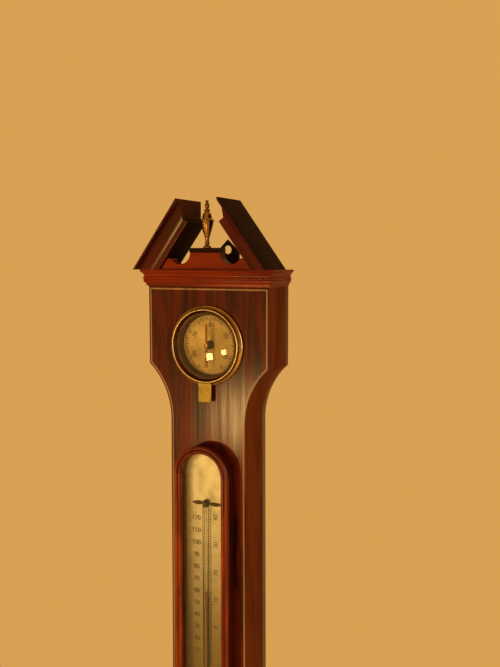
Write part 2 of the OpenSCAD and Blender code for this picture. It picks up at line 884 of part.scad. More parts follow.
module level_plate() {
    color("silver") difference() {
        slab(yf, scale_t) translate([-32, lvl_z - 11]) square([64, 22]);
        translate([-24, yf, lvl_z]) rotate([0, 90, 0]) cylinder(r = 4.4, h = 48);
        screw_set();
    }
}

module level_vial() {
    color("white", 0.5) translate([-23, yf, lvl_z]) rotate([0, 90, 0])
        cylinder(r = 4, h = 46);
}

case_front();
case_sides();
back_panel();
back_door();
door_pins();
edge_line();
cornice();
tympanum();
plinth_cap();
left_rake();
right_rake();
finial();
hanging_plate();
brass_screws();
hygrometer_cup();
hygrometer_dial();
hygrometer_pillar();
oat_beard();
hygrometer_hand();
hygrometer_bezel();
hygrometer_glass();
bezel_tab();
thermometer_box();
frame_arch();
frame_sides();
frame_sill();
thermometer_glass();
thermometer_scale();
thermometer_tube();
thermometer_fluid();
winged_clip();
bulb_clip();
dial_plate();
dial_bezel();
dial_glass();
bezel_knuckle();
dial_tab();
hinge_leaf();
hinge_pin();
set_knob();
set_hand();
indicating_hand();
hand_arbor();
thread_pulley();
movement_plate();
movement_cock();
siphon_tube();
mercury_bend();
mercury_short();
mercury_top();
float_weight();
float_thread();
counterweight();
counter_thread();
guide_tube();
tube_cleats();
level_plate();
level_vial();
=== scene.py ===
import json
import math

import bmesh
import bpy
import numpy as np
from bpy.props import FloatProperty, FloatVectorProperty, PointerProperty
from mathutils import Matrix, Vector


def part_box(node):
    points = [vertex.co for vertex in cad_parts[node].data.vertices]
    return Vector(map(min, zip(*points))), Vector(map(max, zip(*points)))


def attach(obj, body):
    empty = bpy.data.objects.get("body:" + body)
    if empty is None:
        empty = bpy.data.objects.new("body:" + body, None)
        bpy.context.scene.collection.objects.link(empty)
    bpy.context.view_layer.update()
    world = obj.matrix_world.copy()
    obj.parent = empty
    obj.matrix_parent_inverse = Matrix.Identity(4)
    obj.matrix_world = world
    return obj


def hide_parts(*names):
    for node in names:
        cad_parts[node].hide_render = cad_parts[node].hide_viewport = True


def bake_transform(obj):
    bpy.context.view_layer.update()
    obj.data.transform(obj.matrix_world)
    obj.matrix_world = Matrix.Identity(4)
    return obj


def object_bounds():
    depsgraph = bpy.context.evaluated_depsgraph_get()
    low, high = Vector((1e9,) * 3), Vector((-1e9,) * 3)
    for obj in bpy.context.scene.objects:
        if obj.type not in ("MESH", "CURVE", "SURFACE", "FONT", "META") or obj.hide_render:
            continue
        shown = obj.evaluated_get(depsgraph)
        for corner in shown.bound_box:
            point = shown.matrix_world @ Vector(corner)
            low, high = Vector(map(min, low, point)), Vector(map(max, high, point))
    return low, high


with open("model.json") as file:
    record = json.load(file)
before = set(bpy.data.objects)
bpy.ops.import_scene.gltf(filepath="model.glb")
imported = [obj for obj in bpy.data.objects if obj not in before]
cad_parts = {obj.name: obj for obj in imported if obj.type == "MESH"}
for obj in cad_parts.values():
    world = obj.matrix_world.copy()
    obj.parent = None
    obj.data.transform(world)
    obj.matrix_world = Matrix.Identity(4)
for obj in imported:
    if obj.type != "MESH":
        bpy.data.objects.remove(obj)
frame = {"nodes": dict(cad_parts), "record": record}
CAD_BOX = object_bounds()

bl_info = {
    "name": "Banjo barometer",
    "version": (1, 0, 0),
    "blender": (4, 5, 0),
    "location": "View3D > Sidebar > Barometer",
    "description": "Polished wood, brass, silvered dials and glass for the packed barometer",
    "category": "Object",
}

MM = 0.001
BODY_OF = {n: b for b, ns in frame["record"]["behaviour"]["bodies"].items() for n in ns}


def low(node, axis):
    """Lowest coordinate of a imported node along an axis, in millimetres."""
    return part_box(node)[0][axis] / MM


def high(node, axis):
    """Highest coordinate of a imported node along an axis, in millimetres."""
    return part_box(node)[1][axis] / MM


def middle(node, axis):
    """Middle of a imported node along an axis, in millimetres."""
    return (low(node, axis) + high(node, axis)) / 2


# Places that every piece is built from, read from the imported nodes
FRONT = low("case_front", 1)
HEAD = high("case_front", 2)
BOARD_BACK = high("case_front", 1)
PANEL_FRONT = low("back_panel", 1)
HYG = middle("hygrometer_bezel", 2)
DIAL = middle("dial_plate", 2)
CORNICE_TOP = high("cornice", 2)
SPRING = low("frame_arch", 2)
BOX_FOOT = low("frame_sill", 2)
BOX_FRONT = high("frame_arch", 1)
LEVEL = middle("level_plate", 2)
BULB_RADIUS = 4.2
BULB = low("thermometer_fluid", 2) + BULB_RADIUS
SCALE_FACE = low("thermometer_scale", 1)
DIAL_FACE = low("dial_plate", 1)
CARD_FACE = FRONT + 7

# Sizes of the case outline
HEAD_HALF = 67.0
HEAD_SIDE = 79.0
NECK_HALF = 42.0
NECK_LOW = 43.2
SHOULDER = 75.0
FLARE = 110.0
ROUND_BODY = 127.0
TAIL = 48.0
TAIL_HOLLOW = 34.0
TAIL_DROP = 173.0
LINE_IN, LINE_OUT = 3.1, 1.6
GROOVE = FRONT + 1

# Sizes of the pediment: rise and run of the rakes, their tips' distance from the middle, and how
# far the top and the foot of their beds lie under the roof
RAKE_RISE, RAKE_RUN, RAKE_TIP = 68.5, 49.6, 22.4
RAKE_SLOPE = math.atan2(RAKE_RISE, RAKE_RUN)
BED_TOP, BED_FOOT = 10.8, 17.3

# Sizes of the thermometer: half width inside its frame, height of nought and of one degree
FRAME_INNER = 22.3
ZERO, DEGREE = -423.4, 1.273

# The room: reach of the floor in metres, display colour behind the object, light from all round
FLOOR_REACH = 0.95
BACKDROP = (0.85, 0.63, 0.33)
ROOM_LIGHT = 0.36

# Angle in degrees beyond which an edge is shaded sharp
SHARP = 35.0


# Shapes

def arc(cx, cz, r, start, end, count):
    """Points on a circle: centre plus radius times cosine and sine of angles in degrees."""
    a = np.radians(np.linspace(start, end, count))
    return np.column_stack([cx + r * np.cos(a), cz + r * np.sin(a)])


def eased(profile, radius, steps=4):
    """Rounds the corners of a closed profile: each becomes a quadratic curve between points a
    radius before and after it, or 45 percent of the side where that is shorter."""
    p = np.asarray(profile, float)
    before, after = np.roll(p, 1, 0) - p, np.roll(p, -1, 0) - p
    lb, la = np.linalg.norm(before, axis=1), np.linalg.norm(after, axis=1)
    cut = np.minimum(radius, 0.45 * np.minimum(lb, la))[:, None]
    a = p + before / lb[:, None] * cut
    b = p + after / la[:, None] * cut
    t = np.linspace(0, 1, steps)[None, :, None]
    curve = (1 - t) ** 2 * a[:, None] + 2 * t * (1 - t) * p[:, None] + t ** 2 * b[:, None]
    return curve.reshape(-1, 2)


def smooth_line(points, per=7):
    """A cubic curve through the points, with the slope at each one taken from its neighbours."""
    p = np.asarray(points, float)
    if len(p) == 2:
        return np.linspace(p[0], p[1], 4)
    q = np.vstack([2 * p[0] - p[1], p, 2 * p[-1] - p[-2]])
    a, b, c, d = (q[i:len(q) - 3 + i, None] for i in range(4))
    t = np.linspace(0, 1, per, endpoint=False)[None, :, None]
    runs = 0.5 * (2 * b + (c - a) * t + (2 * a - 5 * b + 4 * c - d) * t ** 2
                  + (3 * b - a - 3 * c + d) * t ** 3)
    return np.vstack([runs.reshape(-1, 2), p[-1:]])


def grid(points, wrap_rows=False, wrap_cols=False):
    """Quads over rows and columns of points; a wrapped direction joins its end to its start."""
    rows, cols = points.shape[:2]
    index = np.arange(rows * cols).reshape(rows, cols)
    if wrap_rows:
        index = np.vstack([index, index[:1]])
    if wrap_cols:
        index = np.hstack([index, index[:, :1]])
    quads = np.stack([index[:-1, :-1], index[:-1, 1:], index[1:, 1:], index[1:, :-1]], -1)
    return points.reshape(-1, 3), quads.reshape(-1, 4).tolist()


def at_depth(flat, y):
    """Lays points of x and z at a depth y."""
    flat = np.asarray(flat, float)
    return np.column_stack([flat[:, 0], np.broadcast_to(y, len(flat)), flat[:, 1]])


def turned(profile, x, z, steps=128, closed=True, ripple=None):
    """Radius and reach turned about the axis that runs out of the front: x plus radius times
    cosine, front minus reach, z plus radius times sine. A ripple changes radius with angle."""
    p = np.asarray(profile, float)
    a = np.linspace(0, 2 * math.pi, steps, endpoint=False)[:, None]
    r = p[None, :, 0] * (1 if ripple is None else ripple(a, p[None, :, 0], p[None, :, 1]))
    y = np.broadcast_to(FRONT - p[None, :, 1], np.broadcast_shapes(r.shape, (steps, len(p))))
    points = np.stack([x + r * np.cos(a), y, z + r * np.sin(a)], -1)
    return grid(points, wrap_rows=True, wrap_cols=closed)


def spun(profile, y, steps=96):
    """Radius and height turned about an upright axis in the middle, at a depth y."""
    p = np.asarray(profile, float)
    a = np.linspace(0, 2 * math.pi, steps, endpoint=False)[:, None]
    r, z = p[None, :, 0], np.broadcast_to(p[None, :, 1], (steps, len(p)))
    points = np.stack([r * np.cos(a), y + r * np.sin(a), z], -1)
    return grid(points, wrap_rows=True)


def both_sides(right):
    """A closed outline from its right half: the half itself, then its mirror image back."""
    return np.vstack([right, right[::-1] * (-1, 1)])


def bowed(r, radius, rise, base, thick=0.0):
    """Reach of a bowed pane at distances r from its axis: the cap of a ball that rises by a given
    height above its rim, or of a ball round the same centre that is thicker by an amount."""
    ball = (radius ** 2 + rise ** 2) / (2 * rise)
    return base + rise - ball + np.sqrt((ball + thick) ** 2 - r ** 2)


def pane(r, under, over):
    """Profile of a pane: out along its underside and back along its upper side."""
    return np.vstack([np.column_stack([r, under]), np.column_stack([r, over])[::-1]])


def inset_outline(outline, distance):
    """Moves each point of a closed outline inwards along the mean normal of its two sides."""
    p = np.asarray(outline, float)
    ahead = np.roll(p, -1, 0) - p
    ahead /= np.linalg.norm(ahead, axis=1)[:, None]
    mean = ahead + np.roll(ahead, 1, 0)
    mean /= np.linalg.norm(mean, axis=1)[:, None]
    inwards = np.column_stack([-mean[:, 1], mean[:, 0]])
    area = np.sum(p[:, 0] * np.roll(p[:, 1], -1) - np.roll(p[:, 0], -1) * p[:, 1])
    stretch = np.clip(np.sum(mean * ahead, axis=1), 0.5, 1)[:, None]
    return p + inwards * (distance / stretch) * (1 if area > 0 else -1)


def plate(outline, back, face, ease):
    """A cut plate: the outline carried from back to face, with its two rims eased inwards."""
    p = np.asarray(outline, float)
    small = inset_outline(p, ease)
    lip = math.copysign(ease, back - face)
    rings = [at_depth(small, back), at_depth(p, back - lip), at_depth(p, face + lip),
             at_depth(small, face)]
    points, quads = grid(np.stack(rings), wrap_cols=True)
    n = len(p)
    return points, quads + [list(range(n)), list(range(3 * n, 4 * n))]


def section_run(section, start, end):
    """A closed section carried from a start to an end array of the same points, with flat ends."""
    points, quads = grid(np.stack([start, end]), wrap_cols=True)
    n = len(section)
    return points, quads + [list(range(n)), list(range(n, 2 * n))]


def bars(a, b, width, base, top):
    """Short flat bars between pairs of points, all worked out at once: the four corners lie half
    a width to each side, once at the base depth and once at the top."""
    a, b = np.asarray(a, float), np.asarray(b, float)
    run = (b - a) / np.linalg.norm(b - a, axis=1)[:, None]
    side = np.column_stack([-run[:, 1], run[:, 0]]) * np.reshape(width, (-1, 1)) / 2
    corners = np.stack([a + side, b + side, b - side, a - side], 1)
    corners = np.concatenate([corners, corners], 1)
    y = np.broadcast_to(np.r_[[base] * 4, [top] * 4], corners.shape[:2])
    points = np.stack([corners[..., 0], y, corners[..., 1]], -1).reshape(-1, 3)
    cell = np.array([[0, 1, 2, 3], [4, 7, 6, 5], [0, 4, 5, 1], [1, 5, 6, 2], [2, 6, 7, 3],
                     [3, 7, 4, 0]])
    quads = (cell[None] + 8 * np.arange(len(a))[:, None, None]).reshape(-1, 4)
    return points, quads.tolist()


EIGHT = [(0.3 + 0.25 * math.sin(2 * t), 0.5 + 0.5 * math.cos(t))
         for t in np.linspace(0, 2 * math.pi, 17)]
OVAL = [(0.3 + 0.26 * math.sin(t), 0.5 + 0.5 * math.cos(t))
        for t in np.linspace(0, 2 * math.pi, 17)]
SIX = [(0.5, 0.93), (0.35, 1), (0.15, 0.85), (0.04, 0.5), (0.08, 0.15), (0.29, 0), (0.51, 0.1),
       (0.56, 0.3), (0.47, 0.5), (0.29, 0.56), (0.07, 0.38)]
NUMERALS = {
    "0": [OVAL],
    "1": [[(0.12, 0.8), (0.32, 1)], [(0.32, 1), (0.32, 0)], [(0.16, 0), (0.48, 0)]],
    "2": [[(0.06, 0.76), (0.13, 0.94), (0.31, 1), (0.5, 0.92), (0.55, 0.74), (0.45, 0.52),
           (0.2, 0.2), (0.04, 0)], [(0.04, 0), (0.57, 0)]],
    "3": [[(0.07, 0.84), (0.2, 0.98), (0.4, 0.97), (0.52, 0.79), (0.44, 0.6), (0.25, 0.54)],
          [(0.25, 0.54), (0.47, 0.46), (0.57, 0.25), (0.45, 0.05), (0.25, 0), (0.05, 0.12)]],
    "4": [[(0.45, 0), (0.45, 1)], [(0.45, 1), (0.02, 0.3)], [(0.02, 0.3), (0.62, 0.3)]],
    "5": [[(0.52, 1), (0.15, 1)], [(0.15, 1), (0.11, 0.56)],
          [(0.11, 0.56), (0.3, 0.63), (0.5, 0.53), (0.57, 0.3), (0.44, 0.06), (0.22, 0),
           (0.04, 0.1)]],
    "6": [SIX],
    "7": [[(0.04, 1), (0.57, 1)], [(0.57, 1), (0.35, 0.5), (0.25, 0)]],
    "8": [EIGHT],
    "9": [[(0.6 - x, 1 - z) for x, z in SIX]],
}


def pen_stroke(line, thin, thick, axes, centre, base, top):
    """A broad pen's stroke: a flat bar along the line whose width grows from thin to thick with
    how upright the line runs, laid along turned axes about a centre."""
    run = np.gradient(line, axis=0)
    run /= np.linalg.norm(run, axis=1)[:, None] + 1e-12
    wide = thin + (thick - thin) * np.abs(run[:, 1])
    side = np.column_stack([-run[:, 1], run[:, 0]]) * wide[:, None] / 2
    left, right = (line + side) @ axes + centre, (line - side) @ axes + centre
    rows = np.stack([at_depth(left, base), at_depth(left, top), at_depth(right, top),
                     at_depth(right, base)], 1)
    points, quads = grid(rows, wrap_cols=True)
    n = len(points)
    return points, quads + [[3, 2, 1, 0], [n - 4, n - 3, n - 2, n - 1]]


def number(text, tall, x, z, turn, base, top, weight):
    """Numerals side by side, centred on a point and turned clockwise by an angle in degrees."""
    c, s = math.cos(math.radians(turn)), math.sin(math.radians(turn))
    axes = np.array([[c, -s], [s, c]])
    parts = []
    for i, digit in enumerate(text):
        shift = np.array([(i - len(text) / 2) * 0.74 + 0.07, -0.5]) * tall
        for stroke in NUMERALS[digit]:
            line = smooth_line(np.asarray(stroke, float) * tall) + shift
            parts.append(pen_stroke(line, 0.06 * tall, weight * tall, axes, (x, z), base, top))
    return parts


def polar(r, degrees, x, z):
    """Points at radii and clockwise angles from upright, about a centre."""
    a = np.radians(np.asarray(degrees, float))
    return np.column_stack([x + r * np.sin(a), z + r * np.cos(a)])


def ring_line(r, width, z, base, top, start=0, end=360):
    """A thin flat ring or arc drawn as bars between 181 close points."""
    points = polar(r, np.linspace(start, end, 181), 0, z)
    return bars(points[:-1], points[1:], width, base, top)


def round_number(text, tall, r, centre, turn, base, top, weight):
    """A number on a round dial, its head outwards, at a radius and clockwise angle."""
    x, z = polar(r, [turn], 0, centre)[0]
    return number(text, tall, x, z, turn, base, top, weight)


def mark_depths(face, mark):
    """Depths between which filled marks lie: just inside a plate's face, and proud of it."""
    return face + 0.02, face - mark


# Putting a piece in the scene

def finish_mesh(name, mesh, materials, body, nodes, sharp, drawn=None):
    """Shades a mesh, gives it its materials and puts the object in the scene: a drawn one gets its
    place baked in, any other hangs under its body. A drawn one is given as the second body, the
    point that stays and the point that follows that body."""
    mesh.shade_smooth()
    mesh.set_sharp_from_angle(angle=math.radians(sharp))
    mesh.materials.clear()
    for material in materials:
        mesh.materials.append(material)
    obj = bpy.data.objects.new(name, mesh)
    bpy.context.scene.collection.objects.link(obj)
    if drawn:
        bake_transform(obj)
    else:
        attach(obj, body)
    if nodes:
        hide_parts(*nodes)
    return obj


def not_forward(normals, places):
    """Faces that don't look out of the front."""
    return normals[:, 1] > -0.5


def piece(name, parts, material, like, replaces=True, sharp=SHARP, merge=0.003, others=(),
          where=not_forward):
    """Joins parts given in millimetres into one closed mesh: doubles are merged, faces turned
    outwards, and further materials go on the faces that a test of normal and place picks."""
    sizes = np.cumsum([0] + [len(p) for p, f in parts])
    faces = [[i + start for i in f] for start, (p, fs) in zip(sizes, parts) for f in fs]
    mesh = bpy.data.meshes.new(name)
    mesh.from_pydata((np.vstack([p for p, f in parts]) * MM).tolist(), [], faces)
    bm = bmesh.new()
    bm.from_mesh(mesh)
    if merge:
        bmesh.ops.remove_doubles(bm, verts=bm.verts, dist=merge * MM)
        bmesh.ops.dissolve_degenerate(bm, edges=bm.edges, dist=1e-7)
    bmesh.ops.recalc_face_normals(bm, faces=bm.faces)
    bm.to_mesh(mesh)
    bm.free()
    mesh.update()
    finish_mesh(name, mesh, [material, *others], BODY_OF[like],
                [like] if replaces else [], sharp)
    if others:
        normals, places = np.empty((2, len(mesh.polygons) * 3))
        mesh.polygons.foreach_get("normal", normals)
        mesh.polygons.foreach_get("center", places)
        picked = where(normals.reshape(-1, 3), places.reshape(-1, 3) / MM)
        mesh.polygons.foreach_set("material_index", picked.astype(np.int32))


def eased_copy(node, material, width):
    """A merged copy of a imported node, with its edges rounded by a bevel where a width is given."""
    mesh = frame["nodes"][node].data.copy()
    mesh.name = node + "_eased"
    bm = bmesh.new()
    bm.from_mesh(mesh)
    bmesh.ops.remove_doubles(bm, verts=bm.verts, dist=0.002 * MM)
    bmesh.ops.dissolve_limit(bm, angle_limit=math.radians(0.6), verts=bm.verts, edges=bm.edges)
    bm.to_mesh(mesh)
    bm.free()
    obj = finish_mesh(mesh.name, mesh, [material], BODY_OF[node], [node], SHARP)
    if width:
        bevel = obj.modifiers.new("eased edges", "BEVEL")
        bevel.width = width * MM
        bevel.segments = 2
        bevel.limit_method = "ANGLE"
        bevel.angle_limit = math.radians(40)
        bevel.use_clamp_overlap = True


def drawn_copy(node, material, body, fixed):
    """A copy of an upright node that changes length on the real object, as a thread on a pulley or
    the level of a liquid does: the end that keeps its height with the case and the far end, which
    goes up and down with a body, are worked out, but the copy only gets its material and its place
    baked in."""
    mesh = frame["nodes"][node].data.copy()
    mesh.name = node + "_drawn"
    far = max(low(node, 2) * MM, high(node, 2) * MM, key=lambda z: abs(z - fixed))
    x, y = middle(node, 0) * MM, middle(node, 1) * MM
    finish_mesh(mesh.name, mesh, [material], "case", [node], SHARP,
                (body, (x, y, fixed), (x, y, far)))


def dress(node, material):
    """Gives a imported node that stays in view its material."""
    data = frame["nodes"][node].data
    data.materials.clear()
    data.materials.append(material)


# Finishes

def linear(colour):
    """A display colour as the light value that the shader takes."""
    c = np.asarray(colour[:3], float)
    value = np.where(c <= 0.04045, c / 12.92, ((c + 0.055) / 1.055) ** 2.4)
    return (*value.tolist(), 1.0)


class Wiring:
    """Adds nodes to one node tree and joins their sockets."""

    def __init__(self, tree):
        self.tree = tree

    def add(self, kind, pins=None, **settings):
        """A new node with its settings, and its inputs joined or set."""
        node = self.tree.nodes.new(kind)
        for key, value in settings.items():
            setattr(node, key, value)
        for key, value in (pins or {}).items():
            self.put(node.inputs[key], value)
        return node

    def put(self, target, value):
        """Joins an input to an output, or sets it to an even value."""
        if isinstance(value, bpy.types.NodeSocket):
            self.tree.links.new(value, target)
        else:
            target.default_value = value

    def noise(self, vector, scale, detail, rough=0.55):
        """Cloudy noise from 0 to 1."""
        pins = {"Vector": vector, "Scale": scale, "Detail": detail, "Roughness": rough}
        return self.add("ShaderNodeTexNoise", pins).outputs["Fac"]

    def stretch(self, vector, factors):
        """A vector times a factor along each axis."""
        node = self.add("ShaderNodeVectorMath", {0: vector, 1: factors}, operation="MULTIPLY")
        return node.outputs[0]

    def ramp(self, value, low_end, high_end, low_out=0.0, high_out=1.0):
        """A smooth step from one value to another between two ends."""
        pins = {"Value": value, "From Min": low_end, "From Max": high_end, "To Min": low_out,
                "To Max": high_out}
        node = self.add("ShaderNodeMapRange", pins, interpolation_type="SMOOTHSTEP")
        return node.outputs["Result"]

    def maths(self, operation, a, b):
        """A sum or product of two values, or another operation on them."""
        return self.add("ShaderNodeMath", {0: a, 1: b}, operation=operation).outputs[0]

    def mix(self, factor, a, b):
        """A colour between two colours."""
        node = self.add("ShaderNodeMix", {0: factor, 6: a, 7: b}, data_type="RGBA")
        return node.outputs[2]


def new_group(name, inputs, outputs):
    """An empty shader group with named sockets, and its two ends."""
    tree = bpy.data.node_groups.new(name, "ShaderNodeTree")
    for label, kind, value in inputs:
        socket = tree.interface.new_socket(label, in_out="INPUT", socket_type=kind)
        if value is not None:
            socket.default_value = value
    for label, kind in outputs:
        tree.interface.new_socket(label, in_out="OUTPUT", socket_type=kind)
    wiring = Wiring(tree)
    return wiring, wiring.add("NodeGroupInput").outputs, wiring.add("NodeGroupOutput").inputs


COLOUR, VALUE, VECTOR = "NodeSocketColor", "NodeSocketFloat", "NodeSocketVector"
SURFACE_OUT = [("Color", COLOUR), ("Roughness", VALUE), ("Height", VALUE)]


def figured_wood_group():
    """Polished straight-grained wood whose grain runs along Z: slow bands of shade, narrower
    ribbons of a warmer streak that the bands push about, and short dark pores."""
    w, given, out = new_group("figured_wood", [
        ("Vector", VECTOR, None), ("Ground", COLOUR, None), ("Streak", COLOUR, None),
        ("Shade", COLOUR, None), ("Figure", VALUE, 1.0), ("Pores", VALUE, 0.5),
        ("Gloss", VALUE, 0.2), ("Polish", VALUE, 0.3)], SURFACE_OUT + [("Coat", VALUE)])
    band = w.noise(w.stretch(given["Vector"], (60, 60, 11)), 1.0, 5.0)
    pushed = w.add("ShaderNodeVectorMath", {0: w.stretch(given["Vector"], (150, 150, 16)),
                                            1: band}, operation="ADD").outputs[0]
    ribbon = w.noise(pushed, 1.0, 3.0, 0.6)
    hair = w.noise(w.stretch(given["Vector"], (900, 900, 14)), 1.0, 2.0)
    pore = w.ramp(w.noise(w.stretch(given["Vector"], (2100, 2100, 90)), 1.0, 2.0), 0.62, 0.74)
    shade = w.maths("MULTIPLY", w.ramp(band, 0.4, 0.66), given["Figure"])
    streak = w.maths("MULTIPLY", w.ramp(ribbon, 0.38, 0.78), given["Figure"])
    colour = w.mix(shade, given["Ground"], given["Shade"])
    colour = w.mix(streak, colour, given["Streak"])
    colour = w.mix(w.ramp(hair, 0.3, 0.75, 0.0, 0.32), colour, given["Shade"])
    dark = w.maths("MULTIPLY", pore, given["Pores"])
    colour = w.mix(dark, colour, (0.004, 0.0015, 0.0008, 1))
    w.put(out["Color"], colour)
    rough = w.maths("ADD", given["Gloss"], w.ramp(ribbon, 0.3, 0.8, 0.0, 0.12))
    w.put(out["Roughness"], w.maths("ADD", rough, w.maths("MULTIPLY", pore, 0.2)))
    height = w.maths("SUBTRACT", w.maths("MULTIPLY", hair, 0.25), w.maths("MULTIPLY", dark, 0.8))
    w.put(out["Height"], height)
    rubbed = w.noise(w.stretch(given["Vector"], (460, 460, 9)), 1.0, 3.0, 0.6)
    worn = w.maths("MULTIPLY", w.ramp(rubbed, 0.3, 0.7, 1.0, 0.4),
                   w.ramp(ribbon, 0.3, 0.7, 1.0, 0.75))
    w.put(out["Coat"], w.maths("MULTIPLY", worn, given["Polish"]))
    return w.tree


def aged_metal_group():
    """Handled metal: broad stains between two colours, fine rubbing marks and small pits."""
    w, given, out = new_group("aged_metal", [
        ("Vector", VECTOR, None), ("Bright", COLOUR, None), ("Tarnish", COLOUR, None),
        ("Age", VALUE, 0.5), ("Gloss", VALUE, 0.25)], SURFACE_OUT)
    stain = w.noise(given["Vector"], 85.0, 6.0, 0.62)
    speck = w.noise(given["Vector"], 950.0, 3.0)
    rubbed = w.noise(w.stretch(given["Vector"], (260, 260, 2400)), 1.0, 2.0)
    age = w.maths("MULTIPLY", w.ramp(stain, 0.38, 0.72), given["Age"])
    colour = w.mix(age, given["Bright"], given["Tarnish"])
    colour = w.mix(w.ramp(speck, 0.63, 0.8, 0.0, 0.5), colour, given["Tarnish"])
    w.put(out["Color"], colour)
    rough = w.maths("ADD", given["Gloss"], w.maths("MULTIPLY", age, 0.3))
    w.put(out["Roughness"], w.maths("ADD", rough, w.ramp(rubbed, 0.3, 0.7, 0.0, 0.1)))
    w.put(out["Height"], w.maths("ADD", w.maths("MULTIPLY", rubbed, 0.4), speck))
    return w.tree


def settled_dust_group():
    """A thin film of dust and old wax in patches, over any colour."""
    w, given, out = new_group("settled_dust", [
        ("Vector", VECTOR, None), ("Color", COLOUR, None), ("Roughness", VALUE, 0.3),
        ("Dust", COLOUR, None), ("Amount", VALUE, 0.1)],
        [("Color", COLOUR), ("Roughness", VALUE)])
    film = w.ramp(w.noise(given["Vector"], 48.0, 5.0, 0.65), 0.4, 0.75)
    film = w.maths("MULTIPLY", film, given["Amount"])
    w.put(out["Color"], w.mix(film, given["Color"], given["Dust"]))
    w.put(out["Roughness"], w.maths("ADD", given["Roughness"], w.maths("MULTIPLY", film, 0.6)))
    return w.tree


GROUPS = {}


def shared(name):
    """A shared effect, built the first time that it is asked for."""
    makers = {"wood": figured_wood_group, "metal": aged_metal_group, "dust": settled_dust_group}
    if name not in GROUPS:
        GROUPS[name] = makers[name]()
    return GROUPS[name]


def surface(name, group, pins, depth, turn=(0, 0, 0), dust=0.0, scale=(1, 1, 1), **sockets):
    """A material whose colour, roughness and fine relief come from a shared effect on Object
    coordinates, with the effect turned to the piece's own grain. Even values sit on the shader."""
    material = bpy.data.materials.new(name)
    material.use_nodes = True
    w = Wiring(material.node_tree)
    shader = material.node_tree.nodes["Principled BSDF"]
    place = w.add("ShaderNodeTexCoord").outputs["Object"]
    mapped = w.add("ShaderNodeMapping", {"Vector": place, "Rotation": turn,
                                         "Scale": scale}).outputs["Vector"]
    effect = w.add("ShaderNodeGroup", node_tree=shared(group))
    w.put(effect.inputs["Vector"], mapped)
    for key, value in pins.items():
        w.put(effect.inputs[key], value)
    colour, rough = effect.outputs["Color"], effect.outputs["Roughness"]
    if dust:
        film = w.add("ShaderNodeGroup", node_tree=shared("dust"))
        for key, value in {"Vector": place, "Color": colour, "Roughness": rough,
                           "Dust": linear((0.45, 0.34, 0.2)), "Amount": dust}.items():
            w.put(film.inputs[key], value)
        colour, rough = film.outputs["Color"], film.outputs["Roughness"]
    w.put(shader.inputs["Base Color"], colour)
    w.put(shader.inputs["Roughness"], rough)
    if "Coat" in effect.outputs:
        w.put(shader.inputs["Coat Weight"], effect.outputs["Coat"])
    if depth:
        bump = w.add("ShaderNodeBump", {"Height": effect.outputs["Height"], "Strength": 0.35,
                                        "Distance": depth * MM})
        w.put(shader.inputs["Normal"], bump.outputs["Normal"])
    for key, value in sockets.items():
        shader.inputs[key.replace("_", " ")].default_value = value
    return material


def wood(name, ground, streak, shade, turn=(0, 0, 0), figure=1.0, *, coat, pores=0.5, gloss=0.42,
         dust=0.0, scale=(1, 1, 1), depth=0.02):
    """Polished wood from three display colours."""
    pins = {"Ground": linear(ground), "Streak": linear(streak), "Shade": linear(shade),
            "Figure": figure, "Pores": pores, "Gloss": gloss, "Polish": coat}
    return surface(name, "wood", pins, depth, turn, dust, scale, Coat_Roughness=0.15,
                   Specular_IOR_Level=0.04)


def metal(name, bright, tarnish, age, gloss, metallic=1.0, dust=0.0, depth=0.01):
    """Aged metal from two display colours."""
    pins = {"Bright": linear(bright), "Tarnish": linear(tarnish), "Age": age, "Gloss": gloss}
    return surface(name, "metal", pins, depth, dust=dust, Metallic=metallic)


def fading(material, pin, foot, top, start, stop):
    """The same finish with one of its colours going from one to another over a rise in mm, to paint
    light and shade that change with height.
    """
    w = Wiring(material.node_tree)
    effect = next(n for n in material.node_tree.nodes if n.type == "GROUP")
    place = w.add("ShaderNodeTexCoord").outputs["Object"]
    height = w.add("ShaderNodeSeparateXYZ", {0: place}).outputs["Z"]
    rise = w.ramp(height, start * MM, stop * MM)
    w.put(effect.inputs[pin], w.mix(rise, linear(foot), linear(top)))
    return material


def clear_glass(name, colour, rough=0.0, ior=1.45):
    """Glass that lets lamp light through: shadow rays pass as if nothing were there."""
    material = bpy.data.materials.new(name)
    material.use_nodes = True
    w = Wiring(material.node_tree)
    shader = material.node_tree.nodes["Principled BSDF"]
    shader.inputs["Base Color"].default_value = linear(colour)
    shader.inputs["Transmission Weight"].default_value = 1.0
    shader.inputs["Roughness"].default_value = rough
    shader.inputs["IOR"].default_value = ior
    out = material.node_tree.nodes["Material Output"]
    passing = w.add("ShaderNodeBsdfTransparent")
    shadow = w.add("ShaderNodeLightPath").outputs["Is Shadow Ray"]
    mixed = w.add("ShaderNodeMixShader", {0: shadow, 1: shader.outputs[0],
                                          2: passing.outputs[0]})
    w.put(out.inputs["Surface"], mixed.outputs[0])
    return material


def colour_prop(label, text, display):
    """A colour setting whose default is given as display values from 0 to 255."""
    return FloatVectorProperty(name=label, description=text, subtype="COLOR_GAMMA", size=3,
                               min=0.0, max=1.0, default=tuple(v / 255 for v in display))


